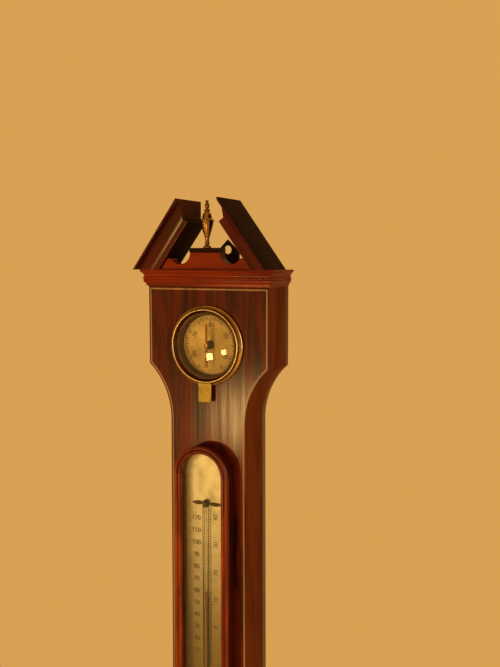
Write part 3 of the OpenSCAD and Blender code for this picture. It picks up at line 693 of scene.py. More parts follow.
class BarometerFinish(bpy.types.PropertyGroup):
    """Colours of the finishes, as they show on a screen."""

    front: colour_prop("Front veneer", "Ground colour of the veneered front", (66, 15, 2))
    # Painted light: the front's ground is lighter on the neck than on the head
    front_neck: colour_prop("Neck", "Ground of the front below the head, lighter as painted light", (106, 32, 2))
    front_streak: colour_prop("Veneer streak", "Warmer ribbons in the veneer", (106, 32, 3))
    front_shade: colour_prop("Veneer shade", "Dark bands in the veneer", (32, 8, 2))
    side: colour_prop("Case side", "Colour of the case sides", (130, 56, 2))
    moulding: colour_prop("Cornice", "Colour of the cornice and its board", (130, 38, 2))
    frame_wood: colour_prop("Frame", "Colour of the thermometer frame", (118, 37, 3))
    arch: colour_prop("Arch", "Colour of the frame's bent top", (106, 30, 4))
    rake: colour_prop("Rakes", "Colour of the raking mouldings", (76, 18, 2))
    # Painted shade: the dark colour of the rakes' tops and undersides
    roof: colour_prop("Roof", "Painted shade on the tops and undersides of the rakes, also the ground of the dark wood", (38, 14, 3))
    cut: colour_prop("Cut ends", "Colour of the upright ends of the rakes", (88, 36, 3))
    line: colour_prop("Edge line", "Pale inlaid line round the front", (164, 112, 62))
    pine: colour_prop("Back", "Plain boards of the back", (148, 104, 62))
    brass: colour_prop("Brass", "Clean parts of the brass", (170, 149, 82))
    brass_age: colour_prop("Old brass", "Stained parts of the brass", (104, 80, 36))
    bezel: colour_prop("Bezel", "Polished parts of the bezels", (140, 106, 52))
    bezel_age: colour_prop("Old bezel", "Stained parts of the bezels", (96, 58, 24))
    # Painted highlight: a pale brass for the bezels' crests and outer edges
    bezel_worn: colour_prop("Bezel highlight", "Painted highlight on the crests and outer edges of the bezels", (240, 222, 170))
    silver: colour_prop("Silvering", "Silvered plates", (170, 141, 78))
    silver_age: colour_prop("Old silvering", "Worn silvering", (136, 106, 50))
    # Painted light: the scale's silvering is painted lighter at its top and darker at its foot
    scale_top: colour_prop("Scale, top", "Painted highlight at the upper end of the scale", (204, 192, 156))
    scale_low: colour_prop("Scale, foot", "Painted shade at the lower end of the scale", (106, 86, 38))
    ink: colour_prop("Wax", "Filling of the engraved marks", (40, 23, 9))


class BarometerSizes(bpy.types.PropertyGroup):
    """Sizes of small details and of the stage."""

    arris: FloatProperty(name="Arris", description="Rounding of the case's front edge in mm",
                         default=0.7, min=0.1, max=2.0)
    mark: FloatProperty(name="Mark", description="Height of the filled marks in mm",
                        default=0.04, min=0.01, max=0.2)
    lens: FloatProperty(name="Lens", description="Focal length of the camera", default=42.01,
                        min=20.0, max=120.0, unit="CAMERA")
    floor_drop: FloatProperty(name="Floor", description="Floor below the foot of the case",
                              default=0.12, min=0.0, max=2.0, unit="LENGTH")


MATERIALS = {}


def wood_finishes(c):
    """Makers of the wood finishes and of the thread, each called with the finish's own name."""
    lay, lean = math.pi / 2, math.pi / 2 - RAKE_SLOPE
    return {
        # Painted light: the front's ground goes from the lighter neck colour below to the head
        # colour above
        "front veneer": lambda n: fading(wood(n, c.front, c.front_streak, c.front_shade, coat=0.8),
                                         "Ground", c.front_neck, c.front, HYG - 85, HYG - 15),
        "case side": lambda n: wood(n, c.side, (0.5, 0.2, 0.02), (0.3, 0.1, 0.01), figure=0.7,
                                    gloss=0.6, coat=0.0, depth=0.003),
        "cornice wood": lambda n: wood(n, c.moulding, (0.58, 0.17, 0.02), (0.34, 0.08, 0.01),
                                       (0, lay, 0), 0.8, coat=0.4),
        "left rake wood": lambda n: wood(n, c.rake, (0.42, 0.12, 0.025), (0.2, 0.05, 0.012),
                                         (0, -lean, 0), 0.8, coat=0.8),
        "right rake wood": lambda n: wood(n, c.rake, (0.42, 0.12, 0.025), (0.2, 0.05, 0.012),
                                          (0, lean, 0), 0.8, coat=0.4),
        # Painted shade: the wood for the tops and undersides of the rakes
        "painted shade wood": lambda n: wood(n, c.roof, (0.2, 0.07, 0.015), (0.1, 0.035, 0.01), figure=0.7,
                                    gloss=0.6, coat=0.0),
        "cut wood": lambda n: wood(n, c.cut, (0.36, 0.14, 0.02), (0.2, 0.07, 0.012), figure=0.7,
                                   gloss=0.5, coat=0.0),
        # Dark wood: painted shade on the plinth cap; it also lines the level's bed
        "dark wood": lambda n: wood(n, c.roof, (0.22, 0.07, 0.015), (0.11, 0.035, 0.01),
                                    (0, lay, 0), 0.7, coat=0.2),
        "frame wood": lambda n: wood(n, c.frame_wood, (0.68, 0.27, 0.03), (0.42, 0.12, 0.015),
                                     figure=0.8, coat=0.8),
        "arch wood": lambda n: wood(n, c.arch, (0.52, 0.16, 0.03), (0.28, 0.07, 0.015), figure=0.8,
                                    coat=0.8),
        "box wood": lambda n: wood(n, c.front, (0.4, 0.12, 0.025), c.front_shade, figure=0.8,
                                   coat=0.1),
        "edge line": lambda n: wood(n, c.line, (0.7, 0.5, 0.29), (0.52, 0.33, 0.17), figure=0.7,
                                    pores=0.2, coat=0.2),
        "pine": lambda n: wood(n, c.pine, (0.66, 0.47, 0.28), (0.42, 0.27, 0.14), pores=0.15,
                               gloss=0.55, coat=0.0, dust=0.3, scale=(0.9, 0.9, 0.22)),
        "thread": lambda n: wood(n, (0.74, 0.66, 0.46), (0.8, 0.73, 0.55), (0.55, 0.46, 0.3),
                                 gloss=0.7, coat=0.0),
    }


def metal_finishes(c):
    """Makers of the metal finishes, the wax and the fluid, called in the same way."""
    return {
        "brass": lambda n: metal(n, c.brass, c.brass_age, 0.6, 0.4),
        "bezel brass": lambda n: metal(n, c.bezel, c.bezel_age, 0.5, 0.2, depth=0.003),
        # Painted highlight: the pale brass on the bezels' crests and outer edges
        "painted highlight brass": lambda n: metal(n, c.bezel_worn, c.brass, 0.3, 0.2, depth=0.003),
        "finial brass": lambda n: metal(n, (0.62, 0.48, 0.32), (0.3, 0.19, 0.1), 0.5, 0.17,
                                        depth=0.002),
        "dark brass": lambda n: metal(n, (0.27, 0.21, 0.1), (0.14, 0.1, 0.045), 0.8, 0.35),
        # Painted shade: the dark brass in the hygrometer cup, round the card and on the bezels'
        # inner faces
        "painted shade brass": lambda n: metal(n, (0.3, 0.16, 0.06), (0.15, 0.075, 0.03), 0.8, 0.4),
        "copper": lambda n: metal(n, (0.44, 0.27, 0.1), (0.27, 0.15, 0.05), 0.6, 0.3),
        "silvered": lambda n: metal(n, c.silver, c.silver_age, 0.5, 0.42, 0.5, dust=0.1),
        # Painted light: the scale's silvering goes from painted shade at its foot to a painted
        # highlight at its top
        "silver with painted light": lambda n: fading(metal(n, c.silver, c.silver_age, 0.4, 0.42, 0.5), "Bright",
                                         c.scale_low, c.scale_top, SPRING - 210, SPRING + 10),
        "blued steel": lambda n: metal(n, (0.12, 0.13, 0.24), (0.06, 0.05, 0.07), 0.5, 0.2),
        "steel": lambda n: metal(n, (0.66, 0.65, 0.62), (0.36, 0.3, 0.24), 0.5, 0.25),
        "iron": lambda n: metal(n, (0.2, 0.17, 0.14), (0.26, 0.15, 0.08), 0.8, 0.5),
        "mercury": lambda n: metal(n, (0.8, 0.8, 0.82), (0.6, 0.6, 0.62), 0.3, 0.06),
        "wax": lambda n: metal(n, c.ink, (0.1, 0.06, 0.03), 0.8, 0.5, 0.0),
        "fluid": lambda n: metal(n, (0.46, 0.3, 0.11), (0.36, 0.22, 0.07), 0.5, 0.15, 0.0),
    }


def glass_finishes():
    """Makers of the clear finishes, called in the same way."""
    return {
        "glass": lambda n: clear_glass(n, (0.99, 0.99, 0.97)),
        "tube glass": lambda n: clear_glass(n, (0.97, 0.98, 0.95), 0.2, 1.3),
        "spirit": lambda n: clear_glass(n, (0.86, 0.9, 0.6), ior=1.36),
    }


def finish(name):
    """One of the object's finishes, made from the panel's colours when it is first used."""
    if name not in MATERIALS:
        c = bpy.context.scene.barometer_finish
        makers = {**wood_finishes(c), **metal_finishes(c), **glass_finishes()}
        MATERIALS[name] = makers[name](name)
    return MATERIALS[name]


# Pieces

def case_half(inset):
    """Right half of the case outline from head to foot, a given distance inside the true edge:
    a straight head, a hollow shoulder, a straight neck, a sweep, the round body, a hollow and
    the round tail, each an arc about its own centre."""
    neck_top = HEAD - HEAD_SIDE - math.sqrt(2 * SHOULDER * (HEAD_HALF - NECK_HALF)
                                            - (HEAD_HALF - NECK_HALF) ** 2)
    shoulder_x, flare_x = NECK_HALF + SHOULDER, NECK_LOW + FLARE
    flare_z = DIAL + math.sqrt((ROUND_BODY + FLARE) ** 2 - flare_x ** 2)
    a, b = TAIL + TAIL_HOLLOW, ROUND_BODY + TAIL_HOLLOW
    hollow_z = (a * a - b * b - TAIL_DROP ** 2) / (2 * TAIL_DROP)
    hollow_x = math.sqrt(b * b - hollow_z ** 2)
    flare_turn = math.degrees(math.atan2(flare_z - DIAL, flare_x))
    hollow_turn = math.degrees(math.atan2(hollow_z, hollow_x))
    tail_turn = math.degrees(math.atan2(hollow_z + TAIL_DROP, hollow_x))
    edge = HEAD_HALF - inset
    start = math.degrees(math.acos((edge - shoulder_x) / (SHOULDER + inset)))
    shoulder = arc(shoulder_x, neck_top, SHOULDER + inset, start, 180, 40)
    flare = arc(flare_x, flare_z, FLARE + inset, 180, 180 + flare_turn, 40)
    head = np.linspace((edge, HEAD - inset), shoulder[0], 60)
    neck = np.linspace(shoulder[-1], flare[0], 60)
    body = arc(0, DIAL, ROUND_BODY - inset, flare_turn, hollow_turn, 150)
    hollow = arc(hollow_x, DIAL + hollow_z, TAIL_HOLLOW + inset, 180 + hollow_turn,
                 180 + tail_turn, 36)
    tail = arc(0, DIAL - TAIL_DROP, TAIL - inset, tail_turn, -90, 48)
    return np.vstack([head, shoulder[1:], neck[1:], flare[1:], body[1:], hollow[1:], tail[1:]])


def case_loop(inset):
    """The whole case outline: the right half down, then the left half back up."""
    right = case_half(inset)
    left = right[-2::-1] * (-1, 1)
    return np.vstack([right, left])


def case_sweep(section, wrap=True):
    """A section of inset and depth carried round the case outline."""
    rows = np.stack([at_depth(case_loop(inset), y) for inset, y in section], 1)
    return grid(rows, wrap_rows=True, wrap_cols=wrap)


def both_hands(points):
    """A grid of the right half and its mirror image on the left."""
    return [grid(points), grid(points * (-1, 1, 1))]


def opening(z, discs, slot=None):
    """Half width of the openings in the front board at each height: the square root of radius
    squared less height squared for a disc, a constant for a slot, and nothing elsewhere. A slot is
    given by its height, half its breadth and half its length."""
    widths = [np.sqrt(np.clip(r * r - (z - c) ** 2, 0, None)) for r, c in discs]
    if slot:
        widths.append(np.where(np.abs(z - slot[0]) < slot[1], slot[2], 0.0))
    return np.max(widths, axis=0)


def front_board(arris):
    """The veneered board: its eased rim carried round the outline, with a groove for the edge
    line, and flat faces that run from the openings to the groove."""
    ease = arc(arris, FRONT + arris, arris, 180, 270, 7)
    section = [(LINE_IN, BOARD_BACK), (0, BOARD_BACK), *ease.tolist(), (LINE_OUT, FRONT),
               (LINE_OUT, GROOVE), (LINE_IN, GROOVE), (LINE_IN, FRONT)]
    parts = [case_sweep(section, wrap=False)]
    rim = case_half(LINE_IN)
    x, z = rim[:, 0], rim[:, 1]
    cup, seat, well, step = 33.1, 104.2, 88.0, FRONT + 5
    level_slot = (LEVEL, 6.5, 26)
    front = opening(z, [(cup, HYG), (seat, DIAL)], level_slot)
    back = opening(z, [(cup, HYG), (well, DIAL)])
    share = np.linspace(0, 1, 9)[None, :]
    for edge, y in ((front, FRONT), (back, BOARD_BACK)):
        across = edge[:, None] + (x - edge)[:, None] * share
        points = np.stack([across, np.full_like(across, y),
                           np.broadcast_to(z[:, None], across.shape)], -1)
        parts += both_hands(points)
    walls = [(front, FRONT, front, step), (front, step, back, step), (back, step, back, BOARD_BACK)]
    for near, y0, far, y1 in walls:
        runs = np.flatnonzero(np.diff(np.r_[0, (near > 0).astype(int), 0]))
        for first, last in zip(runs[::2], runs[1::2]):
            keep = slice(max(first - 1, 0), min(last + 1, len(z)))
            rows = np.stack([np.column_stack([near[keep], np.full_like(z[keep], y0), z[keep]]),
                             np.column_stack([far[keep], np.full_like(z[keep], y1), z[keep]])], 1)
            parts += both_hands(rows)
    return parts


def level_bed():
    """A half-round trough behind the level: an arc carried across, with flat ends."""
    radius, half, steps = 4.4, 24.0, 17
    trough = arc(FRONT, LEVEL, radius, -90, 90, steps)
    points, quads = grid(np.stack([np.column_stack([np.full(steps, x), trough])
                                   for x in (-half, half)]))
    return points, quads + [list(range(steps)), list(range(steps, 2 * steps))]


def veneer_crack():
    """A hair crack in the veneer, low on the right of the hygrometer: a wedge along a smooth line
    that swells and narrows as a sine does."""
    wide, proud, deep = 0.34, 0.012, 0.3
    line = smooth_line([(29.6, -122), (28.9, -130), (29.3, -138), (28.8, -147)], 10)
    side = np.outer(np.sin(np.linspace(0.05, math.pi, len(line))), (wide / 2, 0))
    rows = [at_depth(line - side, FRONT - proud), at_depth(line + side, FRONT - proud),
            at_depth(line, FRONT + deep)]
    return grid(np.stack(rows, 1), wrap_cols=True)


class BAROMETER_OT_case(bpy.types.Operator):
    """Veneered front with its crack, case sides, pale edge line and the level's bed"""

    bl_idname = "barometer.case"
    bl_label = "Case"

    def execute(self, context):
        arris = context.scene.barometer_sizes.arris
        side = finish("case side")
        piece("veneered_front", front_board(arris), finish("front veneer"), "case_front",
              others=[side])
        wall = 10
        section = eased([(0, PANEL_FRONT), (0, BOARD_BACK), (wall, BOARD_BACK),
                         (wall, PANEL_FRONT)], 0.2)
        piece("case_walls", [case_sweep(section)], side, "case_sides")
        line = [(LINE_OUT, FRONT), (LINE_IN, FRONT), (LINE_IN, GROOVE), (LINE_OUT, GROOVE)]
        piece("inlaid_line", [case_sweep(line)], finish("edge line"), "edge_line")
        piece("level_bed", [level_bed()], finish("dark wood"), "case_front", replaces=False)
        piece("veneer_crack", [veneer_crack()], finish("wax"), "case_front", replaces=False,
              merge=0)
        return {"FINISHED"}


def cornice_profile():
    """Reach and height of the cornice from top to bottom: a fillet, a cove and a bead, each an
    arc, and an ovolo, which is part of an oval."""
    out, tall = 6.7, 17.0
    cove = arc(out + 2.4, -0.42 * tall - 0.2, 0.42 * tall - 1.4, 120.3, 178, 16)
    bead = arc(0.42 * out, -0.51 * tall, 0.09 * tall, 82, -82, 14)
    turn = np.linspace(0.0, 1.0, 16) * math.radians(68)
    ovolo = np.column_stack([0.1 * out + 3.31 * np.cos(turn), -0.6 * tall - 4.14 * np.sin(turn)])
    rows = [[(out - 0.3, 0), (out, -0.3), (out, -1.6), (out - 0.5, -1.7)], cove,
            [(0.42 * out + 0.3, -0.42 * tall)], bead, [(0.1 * out + 3.1, -0.6 * tall)], ovolo,
            [(0.1 * out + 0.9, -0.955 * tall), (0.1 * out, -0.96 * tall), (0.1 * out, -tall)]]
    return np.vstack(rows)


def mitred(profile, half, back, top):
    """A profile carried along one side, mitred across the front and back along the other."""
    reach, drop = profile[:, 0], top + profile[:, 1]
    corner = np.stack([np.stack([s * (half + reach), y, drop], -1)
                       for s, y in ((-1, np.full_like(reach, back)), (-1, FRONT - reach),
                                    (1, FRONT - reach), (1, np.full_like(reach, back)))], 1)
    points, quads = grid(corner, wrap_cols=True)
    n = len(points)
    return points, quads + [[0, 1, 2, 3], [n - 4, n - 3, n - 2, n - 1]]


def tympanum_outline():
    """Edge of the pediment board: straight foot, sloping ends, round notches, plinth."""
    foot = RAKE_TIP + RAKE_RUN - BED_FOOT / math.sin(RAKE_SLOPE)
    ledge = 11.0
    notch = arc(28, 16.8, 11.5, -30.3, -180, 30)
    right = np.vstack([[(foot, 0), (foot - ledge / math.tan(RAKE_SLOPE), ledge)], notch])
    return both_sides(right) + (0, CORNICE_TOP)


def rake_sections():
    """Depth and distance under the roof of a rake's two mouldings: a crown hollowed under its
    fillet by a small arc that runs into a large one, and a plain bed."""
    back, crown_face, bed_face = -18.0, FRONT - 22, FRONT - 7.6
    fillet, heel, small, large = 1.67, 12.2, 11.57, 25.0
    quick = arc(FRONT - 20.26, -fillet - small, small, 90, 34, 24)
    slow = arc(0, 0, large, 34, 20, 16)
    cove = np.vstack([quick, slow[1:] - slow[0] + quick[-1]])
    rim = eased([(back, -heel), (back, 0), (crown_face, 0), (crown_face, -fillet)], 0.5)
    bed = eased([(back, -BED_FOOT), (back, -BED_TOP), (bed_face, -BED_TOP),
                 (bed_face, -BED_FOOT)], 0.5)
    return np.vstack([rim, cove]), bed


def rake_parts(hand):
    """One raking moulding: its crown and bed carried along the slope. The crown ends in an
    upright cut and both stop on the cornice."""
    along = np.array([math.cos(RAKE_SLOPE), math.sin(RAKE_SLOPE)])
    square = np.array([-math.sin(RAKE_SLOPE), math.cos(RAKE_SLOPE)])
    tip = np.array([-RAKE_TIP, CORNICE_TOP + RAKE_RISE])
    crown, bed = rake_sections()
    parts = []
    for section, cut in ((crown, crown[:, 1]), (bed, np.full(len(bed), -BED_TOP))):
        y, d = section[:, 0], section[:, 1]
        foot = (-RAKE_RISE - d * math.cos(RAKE_SLOPE)) / math.sin(RAKE_SLOPE)
        ends = []
        for t in (foot, cut * math.tan(RAKE_SLOPE)):
            flat = tip + t[:, None] * along + d[:, None] * square
            ends.append(np.column_stack([hand * flat[:, 0], y, flat[:, 1]]))
        parts.append(section_run(section, *ends))
    return parts


def rake_zones(normals, places):
    """Zones of a raking moulding: 0 its front, 1 its roof and underside, which take painted shade, 2
    its cut ends.
    """
    # Painted shade: the faces that look up and those that look down under the moulding take the dark
    # roof colour
    under = (normals[:, 2] < -0.4) & (places[:, 1] > FRONT - 7)
    dark = (normals[:, 2] > 0.4) | under
    return np.where(np.abs(normals[:, 0]) > 0.9, 2, dark)


class BAROMETER_OT_pediment(bpy.types.Operator):
    """Cornice, board with notches, plinth cap and the two raking mouldings"""

    bl_idname = "barometer.pediment"
    bl_label = "Pediment"

    def execute(self, context):
        piece("cornice_moulding", [mitred(cornice_profile(), HEAD_HALF, -2.5, CORNICE_TOP)],
              finish("cornice wood"), "cornice", sharp=28)
        back, face = high("tympanum", 1), low("tympanum", 1)
        piece("notched_board", [plate(tympanum_outline(), back, face, 0.4)],
              finish("cornice wood"), "tympanum")
        # Painted shade: the plinth cap takes the dark wood
        x, z = high("plinth_cap", 0), high("plinth_cap", 2)
        foot = low("plinth_cap", 2)
        cap = eased([(-x, foot), (x, foot), (x, z), (-x, z)], 0.7, 5)
        piece("plinth_cap_eased", [plate(cap, high("plinth_cap", 1), low("plinth_cap", 1), 0.5)],
              finish("dark wood"), "plinth_cap")
        for hand, side in ((1, "left"), (-1, "right")):
            piece(side + "_rake_moulding", rake_parts(hand), finish(side + " rake wood"),
                  side + "_rake", others=[finish("painted shade wood"), finish("cut wood")],
                  where=rake_zones)
        return {"FINISHED"}


def slender(normals, places):
    """Faces of the finial near its axis, which polishing cloths don't reach."""
    return np.hypot(places[:, 0], places[:, 1] - middle("finial", 1)) < 2.3


class BAROMETER_OT_finial(bpy.types.Operator):
    """Brass urn finial on the plinth"""

    bl_idname = "barometer.finial"
    bl_label = "Finial"

    def execute(self, context):
        foot = eased([(0, 0), (4.0, 0), (4.0, 1.2), (3.2, 2.0), (1.9, 3.0)], 0.25)[4:]
        stem = smooth_line([(1.9, 3.0), (1.7, 3.7), (2.4, 4.3), (2.6, 4.9), (2.4, 5.5), (1.9, 6.2),
                            (1.95, 8), (2.3, 10), (3.3, 13), (4.4, 16.5), (5.4, 20), (6.1, 23),
                            (6.35, 25.2)])
        rim = [(6.4, 25.8), (7.1, 26.1), (7.2, 26.4), (7.2, 26.8), (7.1, 27.1), (6.4, 27.4)]
        lid = smooth_line([(6.4, 27.4), (5.2, 28.4), (4.7, 30.2), (4.1, 32.6), (3.1, 34.6),
                           (2.2, 35.5), (2.9, 36.1), (3.0, 36.7), (2.7, 37.3), (1.5, 38.2),
                           (2.0, 39.4), (2.35, 41), (2.1, 42.6), (1.5, 43.6), (1.2, 44), (1.7, 44.7),
                           (1.5, 45.8), (0.8, 46.4), (0, 46.5)])
        profile = np.vstack([[(0, 0)], foot, stem[1:], rim, lid[1:]]) + (0, low("finial", 2))
        piece("urn_finial", [spun(profile, middle("finial", 1))], finish("finial brass"), "finial",
              others=[finish("bezel brass")], where=slender)
        return {"FINISHED"}


def beyond_card(normals, places):
    """Faces of the hygrometer's card that lie outside its raised rim, which take painted shade."""
    return np.hypot(places[:, 0], places[:, 2] - HYG) > 29.75


def ring_zones(centre, edge, seat, crest):
    """A test that sorts a bezel's faces for painted light: 1, painted shade, where they lie under
    the glass or look in to the axis, 2, painted highlight, on the crest and outer edge, 0 elsewhere."""
    def zones(normals, places):
        away = places[:, [0, 2]] - (0, centre)
        radius = np.linalg.norm(away, axis=1)
        proud = FRONT - places[:, 1]
        inward = np.sum(normals[:, [0, 2]] * away, axis=1) < -0.6 * radius
        # Painted highlight: the crest and the outer edge
        rubbed = (proud > crest) | ((radius > edge - 0.6) & (proud > 2.1))
        return np.where(rubbed, 2, (inward | (radius < seat)).astype(int))
    return zones


def hygrometer_scale(mark):
    """Marks of the hygrometer's card: a line every 6 degrees to 150 on each side, longer at each
    30, an arc at both ends of the short ones, and numbers from nought at the top."""
    base, top = mark_depths(CARD_FACE, mark)
    turns = np.arange(-150, 151, 6)
    long = turns % 30 == 0
    parts = [bars(polar(np.where(long, 23.6, 25.4), turns, 0, HYG), polar(27.7, turns, 0, HYG),
                  np.where(long, 1.05, 0.85), base, top),
             ring_line(27.9, 0.3, HYG, base, top, -150, 150),
             ring_line(25.3, 0.22, HYG, base, top, -150, 150)]
    for turn, text in ((-120, "20"), (-60, "10"), (0, "0"), (60, "10"), (120, "20")):
        parts += round_number(text, 4.4, 20.3, HYG, turn, base, top, 0.2)
    return parts


class BAROMETER_OT_hygrometer(bpy.types.Operator):
    """Hygrometer cup, silvered card with its marks, pillar, hand, bezel, glass, tab and beard"""

    bl_idname = "barometer.hygrometer"
    bl_label = "Hygrometer"

    def execute(self, context):
        brass = finish("brass")
        # Painted shade: the cup and the card's margin take the dark brass
        cup = eased([(33, -20), (33, 0), (32, 0), (32, -19), (0.001, -19), (0.001, -20)], 0.2)
        piece("brass_cup", [turned(cup, 0, HYG)], finish("painted shade brass"), "hygrometer_cup")
        card = eased([(2.6, -8.2), (32, -8.2), (32, -7.7), (29.7, -7.7), (29.7, -6.2), (28.9, -6.2),
                      (28.9, -7), (2.6, -7)], 0.2)
        piece("silvered_card", [turned(card, 0, HYG)], finish("silvered"), "hygrometer_dial",
              others=[finish("painted shade brass")], where=beyond_card)
        piece("hygrometer_marks", hygrometer_scale(context.scene.barometer_sizes.mark),
              finish("wax"), "hygrometer_dial", replaces=False, merge=0)
        pillar = eased([(0.85, -19), (2.6, -19), (2.6, -6.95), (4.3, -6.95), (4.3, -5), (3.6, -4),
                        (2.6, -3.6), (2.6, -0.6), (0.85, -0.6)], 0.25)
        piece("hand_pillar", [turned(pillar, 0, HYG, 48)], finish("dark brass"),
              "hygrometer_pillar")
        r = high("hygrometer_hand", 2) - HYG
        hub = arc(0, 0, 2.6, 62, -62, 12)
        half = np.vstack([[(1.0, r), (1.1, 2.6)], hub, [(1.1, -2.6), (1.2, -r)]])
        outline = both_sides(half) + (0, HYG)
        button = eased([(0, -10), (0.8, -10), (0.8, 0.9), (1.5, 1.4), (1.1, 1.9), (0, 2.0)], 0.2)
        piece("hygrometer_pointer", [plate(outline, FRONT - 0.6, FRONT - 1.7, 0.15)],
              finish("copper"), "hygrometer_hand")
        piece("pointer_button", [turned(button, 0, HYG, 40, False)], brass, "hygrometer_hand",
              replaces=False)
        edge, inner = 40.0, 31.95
        ring = eased([(inner - 1.1, -4), (inner, -4), (inner, 0.1), (edge, 0.1), (edge, 2.4),
                      (edge - 0.9, 3.2), (edge - 2.6, 3.4), (edge - 3.1, 5.6), (edge - 3.7, 6.6),
                      (edge - 4.2, 6.8), (edge - 4.7, 6.5), (inner + 2.4, 4.8),
                      (inner + 1.25, 3.8), (inner + 1.25, 2.4), (inner - 1.1, 2.4)], 0.5, 5)
        # The bezel carries painted shade on its inner faces and a painted highlight on its crest
        piece("turned_bezel", [turned(ring, 0, HYG, 160)], finish("bezel brass"),
              "hygrometer_bezel", others=[finish("painted shade brass"), finish("painted highlight brass")],
              where=ring_zones(HYG, edge, inner + 1.3, 6.35))
        radius, rise, seat, thick = 33.1, 3.4, 2.4, 1.2
        r = np.linspace(0.0, radius, 64)
        bow = bowed(r, radius, rise, seat)
        piece("bowed_glass", [turned(pane(r, bow, bow + thick), 0, HYG, 128, False)],
              finish("glass"), "hygrometer_glass")
        eased_copy("bezel_tab", brass, 0.35)
        dress("oat_beard", finish("thread"))
        return {"FINISHED"}


def frame_profile():
    """Width and reach of the thermometer frame: a flat with two half-round reeds on it."""
    inner, base, reed = FRAME_INNER, 2.2, 7.7 / 4
    rows = [[(inner, 0), (inner, base - 0.05)], arc(inner + reed, base, reed, 178, 4, 18),
            arc(inner + 3 * reed, base, reed, 176, 2, 18), [(inner + 4 * reed, base - 0.05)],
            [(inner + 4 * reed, 0)]]
    return np.vstack(rows)


def thermometer_scale(mark):
    """Marks of the thermometer: a line every two degrees on both sides of the tube, with a rail
    at each end of the lines, numbers of one scale on the left and of the other on the right."""
    base, top = mark_depths(SCALE_FACE, mark)
    z = ZERO + DEGREE * np.arange(0, 131, 2)
    parts = []
    for a, b in ((1.6, 4.3), (-5.0, -2.4)):
        parts.append(bars(np.column_stack([np.full_like(z, a), z]),
                          np.column_stack([np.full_like(z, b), z]), 0.85, base, top))
        rails = np.array([[a, z[0]], [b, z[0]]])
        parts.append(bars(rails, rails + (0, z[-1] - z[0]), 0.45, base, top))
    for value in range(10, 121, 10):
        parts += number(str(value), 4.4, -12.3, ZERO + DEGREE * value, 0, base, top, 0.22)
    for value, at in ((0, 32), (10, 54.5), (20, 77), (30, 99.5), (40, 122)):
        parts += number(str(value), 4.6, 9.6, ZERO + DEGREE * at, -90, base, top, 0.17)
    return parts


def leaf_clip(y):
    """The upper clip: a domed cap round the tube at a depth y, and a leaf with a rivet on each
    side, whose two edges are arcs."""
    z, clasp, arm = middle("winged_clip", 2) - 1.5, 3.0, 9.4
    cap = np.vstack([[(0, z - 2.6), (clasp - 0.2, z - 2.6), (clasp, z - 2.4)],
                     arc(0, 0, clasp, 0, 90, 14) * (1, 0.8) + (0, z + 2.1)])
    rivet = arc(0, 0, 0.9, 0, 90, 8) * (1, 0.8) + (0, FRONT - SCALE_FACE + 1.3)
    parts = [spun(cap, y, 48)]
    for x in (-arm, arm):
        leaf = np.vstack([arc(x, z - 12, 14, 59, 121, 22), arc(x, z + 12, 14, -121, -59, 22)])
        parts.append(plate(leaf, SCALE_FACE, SCALE_FACE - 1.4, 0.3))
        parts.append(turned(rivet, x, z, 24, False))
    return parts


class BAROMETER_OT_thermometer(bpy.types.Operator):
    """Thermometer box, reeded frame, scale with its marks, tube, fluid and clips"""

    bl_idname = "barometer.thermometer"
    bl_label = "Thermometer"

    def execute(self, context):
        reeds = finish("frame wood")
        section = frame_profile()
        d, y = section[:, 0], BOX_FRONT - section[:, 1]
        n, steps = len(d), 61
        turns = np.radians(np.linspace(0, 180, steps))[:, None]
        points, quads = grid(np.stack([d * np.cos(turns), np.broadcast_to(y, (steps, n)),
                                       SPRING + d * np.sin(turns)], -1), wrap_cols=True)
        ends = [list(range(n)), list(range((steps - 1) * n, steps * n))]
        piece("reeded_arch", [(points, quads + ends)], finish("arch wood"), "frame_arch", sharp=40)
        parts = []
        for s in (-1, 1):
            ends = [np.column_stack([s * d, y, np.full_like(d, z)])
                    for z in (SPRING - 0.22, BOX_FOOT)]
            parts.append(section_run(section, *ends))
        piece("reeded_sides", parts, reeds, "frame_sides", sharp=40)
        reach = FRAME_INNER - 0.12
        ends = [np.column_stack([np.full_like(d, x), y, BOX_FOOT + d - FRAME_INNER])
                for x in (-reach, reach)]
        piece("reeded_sill", [section_run(section, *ends)], reeds, "frame_sill", sharp=40)
        eased_copy("thermometer_box", finish("box wood"), 0.25)
        # The scale's silvering carries a painted highlight at its top and painted shade at its foot
        eased_copy("thermometer_scale", finish("silver with painted light"), 0.15)
        eased_copy("thermometer_glass", finish("glass"), 0.0)
        piece("thermometer_marks", thermometer_scale(context.scene.barometer_sizes.mark),
              finish("wax"), "thermometer_scale", replaces=False, merge=0)
        eased_copy("thermometer_tube", finish("tube glass"), 0.0)
        y, r, ball = middle("thermometer_tube", 1), 1.35, BULB_RADIUS
        bulb = arc(0, BULB, ball, -90, 90 - math.degrees(math.asin(r / ball)), 24)
        dome = arc(0, high("thermometer_fluid", 2) - r, r, 0, 90, 8)
        piece("thermometer_thread", [spun(np.vstack([bulb, dome]), y, 48)], finish("fluid"),
              "thermometer_fluid")
        piece("leaf_clip", leaf_clip(y), finish("dark brass"), "winged_clip")
        eased_copy("bulb_clip", finish("dark brass"), 0.2)
        return {"FINISHED"}


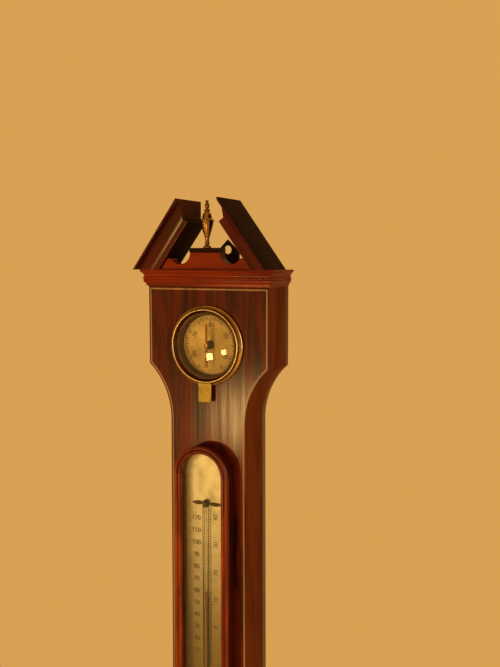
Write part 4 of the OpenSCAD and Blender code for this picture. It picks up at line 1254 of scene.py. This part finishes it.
def weather_scale(mark):
    """Marks of the main dial: three inches of mercury round the circle, a hundredth of an inch
    to 1.2 degrees, with longer lines at twentieths and tenths, numbers at tenths and inches,
    rings, lozenges and a star in the middle."""
    base, top = mark_depths(DIAL_FACE, mark)
    steps = np.arange(-150, 151)
    tenth, twentieth = steps % 10 == 0, steps % 5 == 0
    inner = np.where(tenth, 88.6, np.where(twentieth, 89.8, 90.8))
    wide = np.where(tenth, 0.5, 0.34)
    parts = [bars(polar(inner, 1.2 * steps, 0, DIAL), polar(93.4, 1.2 * steps, 0, DIAL), wide,
                  base, top)]
    for r, width in ((93.8, 0.45), (95.2, 0.3), (88.2, 0.3), (71.5, 0.3), (70.4, 0.3), (27.5, 0.3),
                     (26.3, 0.45)):
        parts.append(ring_line(r, width, DIAL, base, top))
    for text, turn in (("28", -171), ("29", -60), ("30", 60), ("31", 171)):
        parts += round_number(text, 8.6, 78.2, DIAL, turn, base, top, 0.2)
    for tenths in range(-14, 15):
        digit = (tenths + 15) % 10
        if digit:
            parts += round_number(str(digit), 3.4, 85.4, DIAL, 12 * tenths, base, top, 0.18)
    for turn in np.arange(-144, 145, 48):
        x, z = polar(64.5, [turn], 0, DIAL)[0]
        lozenge = polar([3.4, 1.3, 3.4, 1.3], turn + np.array([0, 90, 180, 270]), x, z)
        parts.append(plate(lozenge, base, top, 0.01))
    petals = polar(np.tile([24.5, 9.0], 16), np.arange(32) * 11.25, 0, DIAL)
    parts.append(bars(petals, np.roll(petals, -1, 0), 0.3, base, top))
    return parts


def milled(a, r, reach):
    """Ripple of the knob's wide rim: 44 waves round the parts whose radius is near its own."""
    return 1 + 0.016 * np.cos(44 * a) * (np.abs(r - 5.45) < 0.2)


class BAROMETER_OT_dial(bpy.types.Operator):
    """Main dial with its marks, hinged bezel, domed glass, hands and knob"""

    bl_idname = "barometer.dial"
    bl_label = "Dial"

    def execute(self, context):
        brass = finish("brass")
        disc = eased([(2.1, -5), (104, -5), (104, -3.5), (2.1, -3.5)], 0.2)
        piece("silvered_dial", [turned(disc, 0, DIAL, 192)], finish("silvered"), "dial_plate")
        piece("dial_marks", weather_scale(context.scene.barometer_sizes.mark), finish("wax"),
              "dial_plate", replaces=False, merge=0)
        edge, inner, glass, seat = 111.0, 101.0, 102.5, 3.2
        ring = eased([(inner, 0.1), (edge, 0.1), (edge, 2.6), (edge - 1.4, 4), (edge - 2.0, 4),
                      (edge - 3.6, 6.6), (edge - 6.2, 7.2), (glass + 0.1, 6), (glass + 0.1, seat),
                      (inner, seat)], 0.6, 5)
        # The bezel carries painted shade on its inner faces and a painted highlight on its crest
        piece("hinged_bezel", [turned(ring, 0, DIAL, 256)], finish("bezel brass"), "dial_bezel",
              others=[finish("painted shade brass"), finish("painted highlight brass")],
              where=ring_zones(DIAL, edge, glass + 0.2, 6.7))
        rise, thick = 9.0, 2.0
        r = np.linspace(2.0, glass, 40)
        dome = pane(r, bowed(r, glass, rise, seat), bowed(r, glass, rise, seat, thick))
        piece("domed_glass", [turned(dome, 0, DIAL, 192)], finish("glass"), "dial_glass")
        knob = eased([(0, 1.4), (1.95, 1.4), (1.95, 14.8), (5, 14.8), (5, 16.8), (3.4, 16.8),
                      (3.4, 18.2), (5.6, 18.2), (5.6, 21.2), (0, 21.2)], 0.4, 5)[4:]
        piece("milled_knob", [turned(knob, 0, DIAL, 264, False, milled)], brass, "set_knob")
        reach = high("set_hand", 2) - DIAL
        hub = arc(0, 0, 4, 68, -66, 14)
        half = np.vstack([[(0.02, reach), (1.0, reach - 14), (1.3, 4.4)], hub,
                          [(1.5, -4.6), (1.8, -26)]])
        outline = both_sides(half) + (0, DIAL)
        piece("brass_set_hand", [plate(outline, FRONT - 1.6, FRONT - 2.4, 0.18)], brass,
              "set_hand")
        reach = high("indicating_hand", 2) - DIAL
        hub = arc(0, 0, 5, 68, -70, 14)
        half = np.vstack([[(0.02, reach), (3.4, reach - 16), (1.2, reach - 22), (1.75, 5.4)], hub,
                          [(1.55, -5.6), (1.2, -25.4)]])
        outline = both_sides(half) + (0, DIAL)
        eye = eased([(3.6, -1.6), (6, -1.6), (6, -0.8), (3.6, -0.8)], 0.18)
        parts = [plate(outline, FRONT + 1.6, FRONT + 0.8, 0.18), turned(eye, 0, DIAL - 31, 64)]
        piece("blued_hand", parts, finish("blued steel"), "indicating_hand")
        for node in ("bezel_knuckle", "dial_tab", "hinge_leaf"):
            eased_copy(node, brass, 0.25)
        eased_copy("hinge_pin", brass, 0.2)
        return {"FINISHED"}


class BAROMETER_OT_works(bpy.types.Operator):
    """Arbor, pulley, plates, siphon tube with its mercury, float, weights and threads"""

    bl_idname = "barometer.works"
    bl_label = "Works"

    def execute(self, context):
        looks = {"hand_arbor": "steel", "thread_pulley": "brass", "movement_plate": "brass",
                 "movement_cock": "brass", "siphon_tube": "tube glass", "mercury_bend": "mercury",
                 "mercury_short": "mercury", "mercury_top": "mercury", "float_weight": "iron",
                 "float_thread": "thread", "counterweight": "iron", "counter_thread": "thread",
                 "guide_tube": "brass", "tube_cleats": "pine", "door_pins": "brass"}
        for joint in frame["record"]["behaviour"]["joints"]:
            for soft in joint.get("deforming_nodes", ()):
                drawn_copy(soft["node"], finish(looks.pop(soft["node"])), joint["child"],
                           soft["fixed_end_z_m"])
        for node, name in looks.items():
            dress(node, finish(name))
        return {"FINISHED"}


def lying(profile, steps=64):
    """Radius and length turned about the level's own axis, which lies across the front."""
    p = np.asarray(profile, float)
    a = np.linspace(0, 2 * math.pi, steps, endpoint=False)[:, None]
    x = np.broadcast_to(p[None, :, 1], (steps, len(p)))
    return np.stack([x, FRONT + p[:, 0] * np.cos(a), LEVEL + p[:, 0] * np.sin(a)], -1)


def capsule(points):
    """A closed tube with round ends: a smooth left end, and its mirror image on the right."""
    end = smooth_line(points, 5)
    return grid(lying(np.vstack([end, end[::-1] * (1, -1)])), wrap_rows=True)


class BAROMETER_OT_level(bpy.types.Operator):
    """Level plate, vial with spirit and bubble, and its reading marks"""

    bl_idname = "barometer.level"
    bl_label = "Level"

    def execute(self, context):
        eased_copy("level_plate", finish("silvered"), 0.2)
        vial = 4.0
        skin = capsule([(0, -23), (2.6, -22.6), (3.8, -21), (vial, -19.5)])
        piece("level_glass", [skin], finish("tube glass"), "level_vial")
        bore = capsule([(0, -20.6), (2.2, -20.2), (3.1, -18.5), (3.2, -17)])
        piece("level_spirit", [bore], finish("spirit"), "level_vial", replaces=False)
        turn = np.linspace(0, math.pi, 17)
        ball = np.column_stack([1.5 * np.sin(turn), -6 * np.cos(turn)])
        bubble = grid(lying(ball, 32) + (0, -0.7, 1.2), wrap_rows=True)
        piece("level_bubble", [bubble], finish("glass"), "level_vial", replaces=False)
        parts = []
        for x in (-8.0, 8.0):
            ring = lying([(vial, x - 0.2), (vial + 0.06, x - 0.2), (vial + 0.06, x + 0.2),
                          (vial, x + 0.2)])
            parts.append(grid(ring, wrap_rows=True, wrap_cols=True))
        piece("level_lines", parts, finish("wax"), "level_vial", replaces=False, merge=0)
        return {"FINISHED"}


def slotted_screw(x, y, z, outward, turn):
    """A countersunk screw: a turned shank and cone, and two half-round lips beside a slot."""
    head, shank, slot = 2.3, 1.1, 0.34
    cone = [(0, -8), (shank, -8), (shank, -1.6), (head, -0.5), (head, -slot), (0, -slot)]
    points, quads = turned(cone, x, z, 24, False)
    points[:, 1] = y + outward * -(points[:, 1] - FRONT)
    parts = [(points, quads)]
    c, s = math.cos(turn), math.sin(turn)
    lip = arc(0, 0, head, 8, 172, 18)
    for half in (lip, -lip):
        flat = half @ np.array([[c, s], [-s, c]]) + (x, z)
        parts.append(plate(flat, y - outward * slot, y, 0.06))
    return parts


class BAROMETER_OT_back(bpy.types.Operator):
    """Back boards, door, hanging plate and all the screws"""

    bl_idname = "barometer.back"
    bl_label = "Back and screws"

    def execute(self, context):
        eased_copy("back_panel", finish("pine"), 0.4)
        eased_copy("back_door", finish("pine"), 0.5)
        eased_copy("hanging_plate", finish("iron"), 0.3)
        places = [(-8, 0, HEAD - 5, 1), (8, 0, HEAD - 5, 1), (0, 0, HEAD - 17, 1)]
        places += [(x, DIAL_FACE, z, -1) for x, z in polar(98, [45, 135, 225, 315], 0, DIAL)]
        places += [(s * 27, low("level_plate", 1), LEVEL, -1) for s in (-1, 1)]
        leaf = low("hinge_leaf", 0) + 4
        places += [(leaf, FRONT - 1.6, DIAL + s * 7, -1) for s in (-1, 1)]
        parts = []
        for i, (x, y, z, outward) in enumerate(places):
            parts += slotted_screw(x, y, z, outward, 0.4 + 1.9 * i)
        piece("slotted_screws", parts, finish("brass"), "brass_screws", merge=0.0005)
        return {"FINISHED"}


def photo_camera(lens):
    """The camera at the place and angle from which the photograph was taken."""
    data = bpy.data.cameras.new("photo_camera")
    data.lens = lens
    data.sensor_width = 36
    data.clip_start, data.clip_end = 0.01, 100
    camera = bpy.data.objects.new("photo_camera", data)
    bpy.context.scene.collection.objects.link(camera)
    camera.location = (0.3633, -0.7243, -0.0117)
    camera.rotation_euler = (math.radians(84.69), 0, math.radians(25.07))
    bpy.context.scene.camera = camera


def floor_finish():
    """A pale floor that glows a little to the camera and fades out towards its edge."""
    pins = {"Color": linear((0.88, 0.74, 0.5)), "Roughness": 0.8,
            "Dust": linear((0.84, 0.7, 0.46)), "Amount": 0.4}
    material = surface("pale floor", "dust", pins, 0, Emission_Color=linear(BACKDROP))
    w = Wiring(material.node_tree)
    sockets = material.node_tree.nodes["Principled BSDF"].inputs
    direct = w.add("ShaderNodeLightPath").outputs["Is Camera Ray"]
    w.put(sockets["Emission Strength"], w.maths("MULTIPLY", direct, ROOM_LIGHT))
    place = w.stretch(w.add("ShaderNodeTexCoord").outputs["Object"], (1, 1, 0))
    far = w.add("ShaderNodeVectorMath", {0: place}, operation="LENGTH").outputs["Value"]
    w.put(sockets["Alpha"], w.ramp(far, 0.45 * FLOOR_REACH, 0.98 * FLOOR_REACH, 1.0, 0.0))
    return material


def plain_floor(level):
    """A round floor in metres at a level: rings of points at even distances from the middle."""
    turns, rings = 96, 8
    a = np.linspace(0, 2 * math.pi, turns, endpoint=False)[:, None]
    r = np.linspace(0.001, FLOOR_REACH, rings)[None, :]
    flat = np.broadcast_to(level, (turns, rings))
    points, quads = grid(np.stack([r * np.cos(a), r * np.sin(a), flat], -1), wrap_rows=True)
    mesh = bpy.data.meshes.new("plain_floor")
    mesh.from_pydata(points.tolist(), [], [q[::-1] for q in quads])
    mesh.materials.append(floor_finish())
    floor = bpy.data.objects.new("plain_floor", mesh)
    bpy.context.scene.collection.objects.link(floor)


def plain_room():
    """A pale room that lights from all round, and the backdrop where a ray sees it directly or
    in gloss and glass."""
    world = bpy.data.worlds.new("plain room")
    bpy.context.scene.world = world
    world.use_nodes = True
    w = Wiring(world.node_tree)
    soft = world.node_tree.nodes["Background"]
    soft.inputs["Color"].default_value = linear((0.93, 0.86, 0.74))
    soft.inputs["Strength"].default_value = ROOM_LIGHT
    shown = w.add("ShaderNodeBackground", {"Color": linear(BACKDROP), "Strength": 1.0})
    path = w.add("ShaderNodeLightPath")
    rays = w.maths("MAXIMUM", path.outputs["Is Camera Ray"], path.outputs["Is Glossy Ray"])
    rays = w.maths("MAXIMUM", rays, path.outputs["Is Transmission Ray"])
    both = w.add("ShaderNodeMixShader", {0: rays, 1: soft.outputs[0], 2: shown.outputs[0]})
    w.put(world.node_tree.nodes["World Output"].inputs["Surface"], both.outputs[0])


# Lamps: name, place and aim in metres, power in watts, side in metres, colour, seen in gloss
WARM, GLOW, AMBER = (1, 0.9, 0.74), (1, 0.68, 0.22), (1, 0.6, 0.14)
LAMPS = (
    ("main_lamp", (-0.806, -1.739, -0.433), (0, 0, -0.3), 11, 0.1, WARM, False),
    ("second_lamp", (-0.47, -2.29, -0.51), (0, 0, -0.3), 7.9, 0.1, WARM, False),
    ("near_bulb", (-0.75, -1.72, -0.536), (0, 0, -0.3), 2.7, 0.17, GLOW, True),
    ("far_bulb", (-0.457, -2.226, -0.498), (0, 0, -0.3), 2.1, 0.15, GLOW, True),
    ("low_bulb", (0.143, -1.612, -0.611), (0, 0, 0), 3.5, 0.3, AMBER, True),
    ("side_lamp", (2.2, -0.6, 0.1), (0, 0, -0.4), 12, 1.2, WARM, True),
    ("back_lamp", (-1.2, 1.5, -0.3), (0, 0, -0.4), 16, 1.2, WARM, False),
)


def lamp(name, place, aim, power, size, colour, mirrored):
    """A square soft lamp at a place, turned to shine at a point. One that isn't mirrored lights
    every surface but shows in no gloss."""
    data = bpy.data.lights.new(name, "AREA")
    data.energy = power
    data.size = size
    data.color = colour
    obj = bpy.data.objects.new(name, data)
    bpy.context.scene.collection.objects.link(obj)
    way = np.asarray(aim, float) - np.asarray(place, float)
    across = math.hypot(way[0], way[1])
    obj.location = place
    obj.rotation_euler = (math.atan2(across, -way[2]), 0, math.atan2(-way[0], way[1]))
    obj.visible_glossy = mirrored
    obj.visible_transmission = mirrored


class BAROMETER_OT_stage(bpy.types.Operator):
    """Camera at the photograph's angle, plain floor, soft lamps and plain background"""

    bl_idname = "barometer.stage"
    bl_label = "Stage"

    def execute(self, context):
        sizes = context.scene.barometer_sizes
        context.scene.view_settings.view_transform = "Standard"
        photo_camera(sizes.lens)
        plain_floor(CAD_BOX[0].z - sizes.floor_drop)
        plain_room()
        for row in LAMPS:
            lamp(*row)
        return {"FINISHED"}


class BAROMETER_PT_panel(bpy.types.Panel):
    """Lists the pieces and their settings"""

    bl_label = "Banjo barometer"
    bl_idname = "BAROMETER_PT_panel"
    bl_space_type = "VIEW_3D"
    bl_region_type = "UI"
    bl_category = "Barometer"

    def draw(self, context):
        """A button for each operator, then every colour and size."""
        for cls in OPERATORS:
            self.layout.operator(cls.bl_idname)
        for group in (context.scene.barometer_finish, context.scene.barometer_sizes):
            for name in group.__annotations__:
                self.layout.prop(group, name)


OPERATORS = (BAROMETER_OT_case, BAROMETER_OT_pediment, BAROMETER_OT_finial,
             BAROMETER_OT_hygrometer, BAROMETER_OT_thermometer, BAROMETER_OT_dial,
             BAROMETER_OT_works, BAROMETER_OT_level, BAROMETER_OT_back, BAROMETER_OT_stage)
GROUP_CLASSES = (BarometerFinish, BarometerSizes)


def register():
    """Makes the settings, operators and panel known."""
    for cls in GROUP_CLASSES + OPERATORS + (BAROMETER_PT_panel,):
        bpy.utils.register_class(cls)
    bpy.types.Scene.barometer_finish = PointerProperty(type=BarometerFinish)
    bpy.types.Scene.barometer_sizes = PointerProperty(type=BarometerSizes)


def unregister():
    """Takes them away again, in the opposite order."""
    del bpy.types.Scene.barometer_sizes
    del bpy.types.Scene.barometer_finish
    for cls in (BAROMETER_PT_panel,) + OPERATORS[::-1] + GROUP_CLASSES[::-1]:
        bpy.utils.unregister_class(cls)


def main():
    """Builds every piece and the stage."""
    register()
    for cls in OPERATORS:
        family, name = cls.bl_idname.split(".")
        getattr(getattr(bpy.ops, family), name)()


if __name__ == "__main__":
    main()
